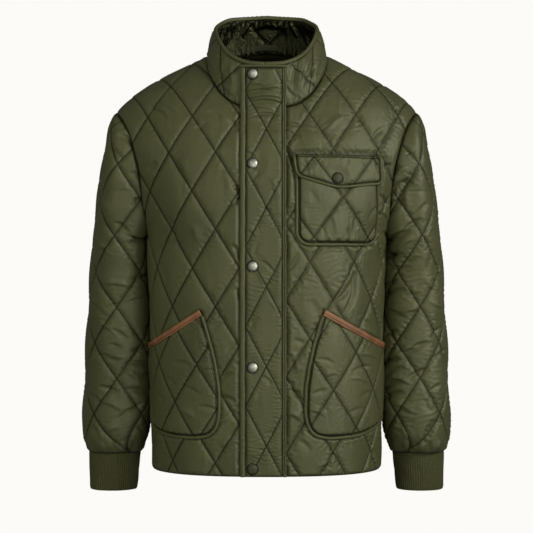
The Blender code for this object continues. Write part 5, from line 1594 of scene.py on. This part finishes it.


# ---------------------------------------------------------------- creases

# Creases that the photograph shows, read from it. Columns: the pixels of one end (x, y) and
# of the other (x, y) in its 533 x 533 frame, the width and the height in mm. Troughs are below zero.
SEEN_CREASES = {
    "sleeve_left": [
        (397, 164, 391, 176, 3, -3.2), (406, 168, 392, 183, 3, 2), (411, 174, 402, 192, 3, -2.2),
        (408, 188, 410, 214, 4, 1.4), (404, 190, 398, 204, 3, -1.6), (420, 219, 402, 238, 4, -2.4),
        (389, 247, 400, 254, 3, -3), (413, 237, 402, 252, 4, 2.2), (426, 203, 414, 221, 3, -1.6),
        (398, 208, 388, 223, 3, -2), (391, 232, 404, 228, 3, 1.5), (418, 256, 404, 271, 4, -1.8),
        (404, 277, 414, 293, 4, 1.5), (432, 250, 426, 272, 4, -1.2), (392, 262, 404, 266, 3, -2.2),
        (389, 284, 400, 278, 3, -2), (423, 276, 436, 290, 4, 1.2), (418, 308, 403, 315, 4, 1.8),
        (406, 318, 391, 310, 3, -1.8), (426, 343, 404, 357, 4, -2.6), (444, 349, 428, 365, 3, -1.5),
        (418, 347, 402, 353, 3, 1.6), (407, 380, 388, 391, 4, -3), (409, 384, 394, 378, 3, 1.8),
        (438, 384, 430, 392, 3, -1.4), (404, 367, 390, 377, 3, -2.2), (412, 355, 400, 362, 3, 1.5),
        (425, 398, 430, 412, 4, -1.4), (440, 326, 430, 338, 3, -1.6), (412, 412, 398, 404, 4, 1.4),
        (434, 420, 424, 436, 4, -1.5), (404, 424, 412, 440, 4, 1.6), (446, 372, 440, 392, 3, -1.3),
        (400, 330, 390, 336, 3, -2), (428, 300, 440, 306, 3, 1.2), (402, 440, 405, 449, 2.5, -1.6),
        (412, 441, 413, 450, 2.5, -1.8), (421, 441, 421, 450, 2.5, 1.6), (430, 440, 429, 449, 2.5, -1.7),
        (438, 439, 436, 448, 2.5, 1.5),
    ],
    "sleeve_right": [
        (118, 136, 134, 148, 3, -3), (121, 131, 131, 141, 3, 1.8), (113, 150, 122, 160, 4, -1.4),
        (146, 262, 131, 277, 4, -2.4), (107, 284, 127, 287, 3, 1.4), (140, 196, 130, 206, 4, -1.4),
        (104, 200, 110, 216, 5, 1.2), (116, 222, 128, 236, 4, -1.4), (98, 240, 108, 254, 4, 1.2),
        (102, 355, 117, 361, 3, -2.2), (110, 329, 127, 341, 3, -2.2), (103, 325, 117, 337, 3, 1.6),
        (111, 344, 121, 349, 3, -1.8), (101, 387, 119, 393, 3, -2.2), (99, 401, 121, 411, 4, 1.8),
        (92, 394, 101, 403, 3, -1.6), (138, 401, 123, 411, 3, -2), (105, 358, 123, 359, 2.5, 1.6),
        (139, 375, 151, 379, 3, -1.8), (91, 301, 107, 317, 4, -1.4), (96, 352, 91, 364, 4, 1.2),
        (126, 372, 136, 384, 3, 1.5), (116, 420, 128, 413, 3, -1.6), (130, 352, 146, 348, 3, -2),
        (92, 424, 99, 436, 4, -1.5), (140, 330, 150, 322, 3, -1.6), (108, 432, 118, 426, 4, 1.5),
        (134, 424, 142, 434, 3, -1.5), (124, 302, 138, 296, 3, 1.3), (106, 310, 120, 304, 3, -1.3),
        (93, 440, 95, 449, 2.5, -1.6), (103, 441, 104, 450, 2.5, 1.5), (113, 441, 113, 450, 2.5, -1.8),
        (123, 441, 122, 450, 2.5, 1.6), (132, 440, 130, 449, 2.5, -1.7),
    ],
    "front_left": [
        (282, 124, 306, 130, 2.5, -1.8), (295, 129, 312, 131, 2.5, 1.2), (287, 134, 300, 137, 2.5, -1.4),
        (286, 147, 291, 167, 3, -2.4), (284, 157, 290, 171, 2.5, 1.6), (292, 217, 286, 229, 3, -1.8),
        (354, 270, 333, 302, 4, -2.6), (349, 268, 330, 296, 4, 1.8), (296, 253, 285, 271, 3, -1.6),
        (383, 166, 390, 166, 3, -1.8), (378, 195, 386, 205, 3, -1.8), (377, 211, 386, 221, 3, 1.6),
        (352, 274, 342, 313, 3.5, -2.6), (294, 340, 304, 344, 3, -1.4), (288, 389, 304, 403, 3.5, -1.8),
        (287, 413, 302, 422, 3.5, 1.6), (372, 448, 368, 466, 4, -1.2), (372, 377, 380, 387, 3, -1.4),
        (366, 246, 374, 262, 4, 1.4), (330, 130, 344, 118, 4, 1.2), (372, 140, 384, 128, 4, -1.6),
        (352, 112, 362, 126, 5, -1.2), (318, 470, 334, 460, 4, 1.2), (300, 440, 310, 452, 4, -1.2),
        (312, 266, 300, 280, 4, 1.3), (380, 232, 388, 246, 3, -1.6), (360, 320, 372, 330, 4, -1.2),
        (290, 352, 296, 372, 4, 1.2), (310, 300, 318, 318, 5, -1.1),
    ],
    "front_right": [
        (147, 107, 167, 120, 4, -1.6), (158, 104, 178, 114, 4, 1.2), (209, 112, 221, 119, 3, -1.4),
        (233, 245, 241, 261, 3, -2.2), (235, 185, 241, 196, 3, -3), (235, 206, 241, 195, 3, -2.4),
        (193, 226, 197, 242, 4, 1.2), (223, 172, 227, 196, 5, 1.3), (171, 218, 174, 246, 4, -1.1),
        (161, 262, 169, 294, 5, -1.2), (219, 382, 233, 373, 3, -1.6), (231, 413, 219, 423, 3, 1.5),
        (226, 352, 238, 342, 3, -1.4), (222, 396, 236, 402, 3, -1.6), (196, 131, 208, 124, 4, -1.1),
        (178, 160, 186, 176, 5, 1), (206, 292, 216, 306, 5, -1), (236, 288, 241, 300, 3, -1.8),
        (158, 210, 150, 226, 4, -1.3), (156, 160, 148, 170, 4, -1.5), (160, 452, 172, 462, 4, -1.1),
        (224, 448, 236, 440, 4, 1.2), (212, 330, 222, 322, 4, -1.2), (230, 120, 238, 132, 3, -1.6),
    ],
    "pocket_left": [
        (312, 395, 326, 390, 3, -1.6), (352, 371, 368, 367, 3, -1.6), (348, 379, 366, 385, 3, 1.4),
        (316, 359, 332, 363, 3, -1.4), (356, 355, 374, 361, 3, 1.4), (310, 410, 324, 416, 4, 1.2),
        (346, 414, 362, 408, 4, -1.2), (330, 322, 344, 330, 4, -1.4), (356, 398, 370, 392, 3, -1.4),
        (322, 378, 334, 372, 4, 1.2), (312, 340, 322, 332, 3, -1.2),
    ],
    "pocket_right": [
        (183, 386, 201, 394, 3, -1.4), (201, 407, 217, 410, 3, -1.6), (180, 410, 196, 418, 4, 1.3),
        (176, 362, 192, 366, 4, -1.2), (195, 320, 208, 332, 2.5, -2.4), (204, 352, 214, 344, 3, -1.4),
        (162, 340, 172, 330, 4, 1.2), (160, 392, 168, 404, 4, -1.2), (200, 372, 212, 366, 3, 1.3),
        (168, 376, 178, 386, 4, -1),
    ],
    "chest_pocket": [
        (300, 208, 304, 226, 4, 1), (342, 196, 352, 186, 4, -1.2), (329, 214, 334, 234, 4, 1.2),
        (352, 230, 358, 212, 4, -1.2), (366, 220, 374, 206, 3, -1.6), (308, 190, 316, 204, 5, -1),
        (320, 226, 324, 238, 2.5, -1.2), (346, 228, 349, 238, 2.5, -1.2),
    ],
    "chest_flap": [
        (302, 160, 306, 172, 2.5, -0.9), (318, 162, 312, 172, 2.5, 0.9), (346, 160, 341, 168, 2.5, -0.9),
        (358, 162, 366, 172, 2.5, 0.9), (370, 160, 376, 172, 2.5, -0.8), (312, 176, 304, 171, 2, -0.8),
    ],
    "placket": [
        (248, 88, 263, 86, 1.8, -1), (262, 91, 278, 88, 1.8, 1), (246, 94, 272, 92, 2, -1.3),
        (249, 99, 278, 97, 2, 1), (252, 104, 279, 104, 2.2, -1.4), (246, 110, 273, 111, 2, 1),
        (256, 116, 278, 117, 2, -1.1), (250, 122, 270, 124, 2.2, 0.8), (262, 130, 276, 133, 2, -0.8),
        (258, 171, 250, 181, 2.5, -0.9), (243, 150, 257, 158, 3, 0.8), (261, 261, 273, 273, 2.5, -0.9),
        (256, 272, 263, 286, 2.5, 0.9), (254, 256, 259, 244, 2.5, -0.8), (270, 180, 276, 196, 3, 0.8),
        (262, 206, 272, 218, 3, -0.7), (250, 330, 258, 318, 3, -0.8), (262, 376, 272, 386, 2.5, -0.8),
        (256, 392, 250, 404, 3, 0.8), (266, 440, 274, 428, 3, -0.7), (248, 228, 256, 236, 3, 0.7),
        (268, 300, 276, 312, 3, 0.7),
    ],
    "collar": [
        (300, 56, 293, 92, 2.6, -1.6), (306, 60, 298, 90, 2.6, 1.2), (321, 62, 316, 76, 3, -1.6),
        (315, 66, 303, 90, 3, -1.4), (310, 58, 305, 74, 2.5, 1.2), (288, 64, 290, 82, 3, 1),
        (287, 86, 296, 96, 2.5, -1.6), (326, 58, 320, 72, 2.5, 1.2), (216, 62, 226, 78, 4, -1),
        (224, 88, 234, 96, 3, -1.2), (232, 66, 234, 84, 3, 0.9), (211, 58, 218, 68, 3, 0.9),
        (228, 60, 222, 76, 4, 0.8),
    ],
}
# Creases placed in the pieces' own flat sizes: on what the photograph hides, and deeper ones
# on the sleeves. Columns: the middle (u, v), the length, the direction in degrees, width and height.
PLACED_CREASES = {
    "collar_lining": [
        (-0.1400, 0.0360, 0.050, 80, 0.0040, 0.0022), (-0.1180, 0.0300, 0.044, 105, 0.0040, -0.0020),
        (-0.0960, 0.0380, 0.040, 70, 0.0035, 0.0018), (-0.0700, 0.0520, 0.030, 100, 0.0040, -0.0016),
        (-0.0300, 0.0500, 0.036, 60, 0.0045, 0.0016), (0.0060, 0.0480, 0.060, 4, 0.0040, 0.0020),
        (0.0100, 0.0400, 0.050, -6, 0.0045, -0.0014), (0.0500, 0.0520, 0.034, 120, 0.0040, 0.0014),
        (0.0900, 0.0360, 0.044, 100, 0.0040, -0.0016), (0.1200, 0.0380, 0.044, 84, 0.0035, 0.0016),
    ],
    "back": [
        (-0.2100, -0.2450, 0.060, 40, 0.0040, -0.0026), (-0.2000, -0.2750, 0.050, 30, 0.0035, 0.0018),
        (-0.2200, -0.3350, 0.050, -20, 0.0040, -0.0020), (-0.1750, -0.2150, 0.060, 60, 0.0045, -0.0016),
        (0.2120, -0.2400, 0.064, 140, 0.0040, -0.0028), (0.2020, -0.2800, 0.048, 152, 0.0035, 0.0018),
        (0.2240, -0.3400, 0.046, 196, 0.0040, -0.0020), (0.1700, -0.2080, 0.055, 118, 0.0045, -0.0016),
        (-0.0950, -0.1500, 0.070, 84, 0.0050, 0.0014), (0.1020, -0.1620, 0.064, 97, 0.0050, 0.0014),
        (-0.0300, -0.0500, 0.060, 12, 0.0035, -0.0016), (0.0340, -0.0620, 0.056, -14, 0.0035, -0.0016),
        (0.0000, -0.0350, 0.050, 0, 0.0030, 0.0014), (-0.1400, -0.4300, 0.050, 24, 0.0045, -0.0014),
        (0.1500, -0.4520, 0.055, -22, 0.0045, -0.0015), (-0.0600, -0.5000, 0.046, 8, 0.0040, 0.0012),
        (0.0700, -0.5350, 0.050, -6, 0.0040, -0.0013), (-0.2300, -0.5200, 0.045, 35, 0.0040, -0.0016),
        (0.2340, -0.5500, 0.045, -30, 0.0040, -0.0016), (-0.1700, -0.6100, 0.050, 15, 0.0040, -0.0014),
        (0.1600, -0.6250, 0.055, -10, 0.0040, 0.0013), (0.0100, -0.6350, 0.060, 4, 0.0045, -0.0013),
        (-0.0200, -0.2600, 0.060, 92, 0.0055, 0.0012), (0.0250, -0.3900, 0.055, 80, 0.0050, -0.0011),
    ],
    "sleeve_left": [
        (0.1420, -0.2560, 0.062, -28, 0.0045, -0.0034), (0.1360, -0.3060, 0.066, -22, 0.0045, -0.0036),
        (0.1420, -0.3360, 0.058, -12, 0.0042, -0.0032), (0.1250, -0.2240, 0.050, -42, 0.0045, -0.0028),
        (0.1360, -0.3980, 0.054, -20, 0.0042, -0.0026), (0.1400, -0.5120, 0.056, -18, 0.0042, -0.0028),
        (0.1360, -0.5680, 0.052, -24, 0.0042, -0.0028), (0.0920, -0.5300, 0.044, -30, 0.0040, -0.0018),
    ],
    "sleeve_right": [
        (0.1400, -0.2080, 0.056, -24, 0.0045, -0.0030), (0.1440, -0.2480, 0.052, -14, 0.0042, -0.0026),
        (0.1440, -0.3080, 0.058, 10, 0.0045, -0.0030), (0.1320, -0.5160, 0.050, -14, 0.0042, -0.0022),
        (0.1300, -0.5600, 0.048, -20, 0.0042, -0.0024),
    ],
}
# How much deeper than read each piece's creases are. They widen by the square root of that.
DEEPER = {
    "sleeve_left": 1.35, "sleeve_right": 1.3, "front_left": 1.35, "front_right": 1.35,
    "placket": 1.7, "collar": 1.5, "collar_lining": 1.7,
}
# How far up from its like in front each crease on the back of a sleeve is.
BACK_SHIFT = {"sleeve_left": -0.014, "sleeve_right": 0.017}

PIXEL = 0.00168  # a pixel of the photograph at y = 0
PHOTO_ORIGIN = (266.5, 57.6)  # the pixel that shows the part's origin
# Where on each form the seen creases are looked for: flat corners, and how many points each way.
LEFT_FRONT = (place_body(-1), (-0.02, -0.70), (0.32, 0.02), (340, 500))
RIGHT_FRONT = (place_body(-1), (-0.32, -0.70), (0.02, 0.02), (340, 500))
SLEEVE_AREA = ((0.0, -0.66), (0.26, -0.03), (260, 500))
SEARCHED = {
    "sleeve_left": (place_sleeve(1), *SLEEVE_AREA), "sleeve_right": (place_sleeve(-1), *SLEEVE_AREA),
    "front_left": LEFT_FRONT, "pocket_left": LEFT_FRONT, "chest_pocket": LEFT_FRONT,
    "chest_flap": LEFT_FRONT, "front_right": RIGHT_FRONT, "pocket_right": RIGHT_FRONT,
    "placket": (place_placket, (-0.04, -0.69), (0.04, 0.0), (80, 400)),
    "collar": (place_collar, (-0.32, 0.0), (0.32, 0.07), (640, 70)),
}
COARSE, AROUND = 8, 12  # steps between the points looked at first, and round the best of them
CREASE_LENGTHS = 1.15  # a crease's length over the distance between its read ends


def seen(points):
    """The pixels of the photograph that show points of the jacket."""
    nearer = VIEW_DISTANCE / (VIEW_DISTANCE + points[:, 1])
    x = points[:, 0] * nearer
    z = VIEW_HEIGHT + (points[:, 2] - VIEW_HEIGHT) * nearer
    return np.stack([PHOTO_ORIGIN[0] + x / PIXEL, PHOTO_ORIGIN[1] - z / PIXEL], axis=1)


def flat_at(pixels, place, low, high, counts):
    """The flat points of a form that the photograph shows nearest to some pixels."""
    grid = [np.linspace(*run) for run in zip(low, high, counts)]

    def look(columns, rows):
        i, j = (k.ravel() for k in np.meshgrid(columns, rows))
        flat = np.stack([grid[0][i], grid[1][j]], axis=1)
        points = place(flat)
        shown = seen(points)
        if place is place_collar:
            shown[points[:, 1] >= 0] = np.inf  # its back half is out of sight
        return i, j, flat, shown

    first = look(*(np.arange(0, count, COARSE) for count in counts))
    found = []
    for pixel in pixels:
        best = ((first[3] - pixel) ** 2).sum(1).argmin()
        near = [
            np.arange(max(at[best] - AROUND, 0), min(at[best] + AROUND + 1, count))
            for at, count in zip(first[:2], counts)
        ]
        _, _, flat, shown = look(*near)
        found.append(flat[((shown - pixel) ** 2).sum(1).argmin()])
    return np.array(found)


def seen_creases(name):
    """A piece's seen creases in its flat sizes, to 0.1 mm in place, 1 mm in length and a degree."""
    rows = SEEN_CREASES.get(name, [])
    ends = [pixel for row in rows for pixel in (row[:2], row[2:4])]
    flat = flat_at(ends, *SEARCHED[name]) if rows else []
    made = []
    for (wide, high), start, end in zip((row[4:] for row in rows), flat[::2], flat[1::2]):
        middle, run = (start + end) / 2, end - start
        turn = round(math.degrees(math.atan2(run[1], run[0])))
        long = round(float(np.hypot(*run)) * CREASE_LENGTHS, 3)
        made.append((*(round(float(m), 4) for m in middle), long, turn, wide / 1000, high / 1000))
    return made


def creases_of(name):
    """All creases of a piece as (u, v, length, direction, width, height)."""
    by = DEEPER.get(name, 1)
    rows = [*seen_creases(name), *PLACED_CREASES.get(name, [])]
    rows = [(*row[:4], row[4] * by**0.5, row[5] * by) for row in rows]
    if name in BACK_SHIFT:
        shift = BACK_SHIFT[name]
        rows += [(-u, v + shift, long, -turn, wide, high) for u, v, long, turn, wide, high in rows]
    return rows


CREASES = {name: creases_of(name) for name in [*SEEN_CREASES, "collar_lining", "back"]}


# ---------------------------------------------------------------- the scene round it

PALE = (0.975, 0.962, 0.930, 1)


def glowing(name, colour):
    """An even, pale, unlit material for the backdrop."""
    material = bpy.data.materials.new(name)
    material.use_nodes = True
    tree = material.node_tree
    tree.nodes.clear()
    light = node(tree, "Emission", {"Color": colour, "Strength": 1.0})
    tree.links.new(light.outputs[0], node(tree, "OutputMaterial").inputs[0])
    return material


def build_stage():
    """A pale floor and a pale backdrop, which only the camera sees."""
    sides = 96
    turn = np.linspace(0, 2 * math.pi, sides, endpoint=False)
    rings = [(6.0, -1.15), (8.0, -0.4), (8.0, 4.0), (4.0, 7.0), (0.01, 8.0)]  # radius and height
    points = [(r * math.cos(a), r * math.sin(a), z) for r, z in rings for a in turn]
    faces = []
    for row in range(len(rings) - 1):
        for i in range(sides):
            low, j = row * sides, (i + 1) % sides
            faces.append([low + i, low + j, low + sides + j, low + sides + i])
    faces.append(list(range(sides)))
    mesh = bpy.data.meshes.new("backdrop")
    mesh.from_pydata(points, [], faces)
    mesh.materials.append(glowing("backdrop", PALE))
    stage = bpy.data.objects.new("backdrop", mesh)
    bpy.context.scene.collection.objects.link(stage)
    for kind in ("diffuse", "glossy", "transmission", "shadow"):
        setattr(stage, f"visible_{kind}", False)


def add_light(name, place, towards, size, power, shines=True):
    """A soft square light. One that doesn't shine lights the cloth and leaves no highlights on it."""
    data = bpy.data.lights.new(name, "AREA")
    data.size = size
    data.energy = power
    light = bpy.data.objects.new(name, data)
    light.location = place
    light.visible_glossy = shines
    light.rotation_euler = (Vector(towards) - Vector(place)).to_track_quat("-Z", "Y").to_euler()
    bpy.context.scene.collection.objects.link(light)


def build_camera():
    """The photograph's view: level, from straight in front."""
    data = bpy.data.cameras.new("camera")
    data.sensor_fit = "HORIZONTAL"
    data.angle = 2 * math.atan(VIEW_HALF / VIEW_DISTANCE)
    data.clip_end = 60
    camera = bpy.data.objects.new("camera", data)
    camera.location = (0, -VIEW_DISTANCE, VIEW_HEIGHT)
    camera.rotation_euler = (math.pi / 2, 0, 0)
    bpy.context.scene.collection.objects.link(camera)
    bpy.context.scene.camera = camera


def build_lights():
    """Soft light from the wearer's left and above, with a weaker one from the other side."""
    world = bpy.data.worlds.new("world")
    world.use_nodes = True
    world.node_tree.nodes["Background"].inputs["Color"].default_value = (1.0, 0.99, 0.97, 1)
    world.node_tree.nodes["Background"].inputs["Strength"].default_value = 0.07
    bpy.context.scene.world = world
    bpy.context.scene.view_settings.view_transform = "Standard"
    middle = (0, 0, -0.35)
    add_light("key", (2.5, -1.9, 0.95), middle, 0.9, 47)
    add_light("high", (2.0, -1.4, 2.0), middle, 1.0, 4)
    add_light("low", (1.8, -2.6, -1.2), middle, 1.4, 14)
    add_light("front", (0.0, -3.4, 0.4), middle, 1.6, 16)
    add_light("fill", (-2.4, -2.4, 0.4), middle, 1.6, 30, shines=False)


def main():
    build_materials()
    build_camera()
    build_lights()
    build_stage()
    build_back()
    build_fronts()
    build_sleeves()
    build_collar()
    build_placket()


main()
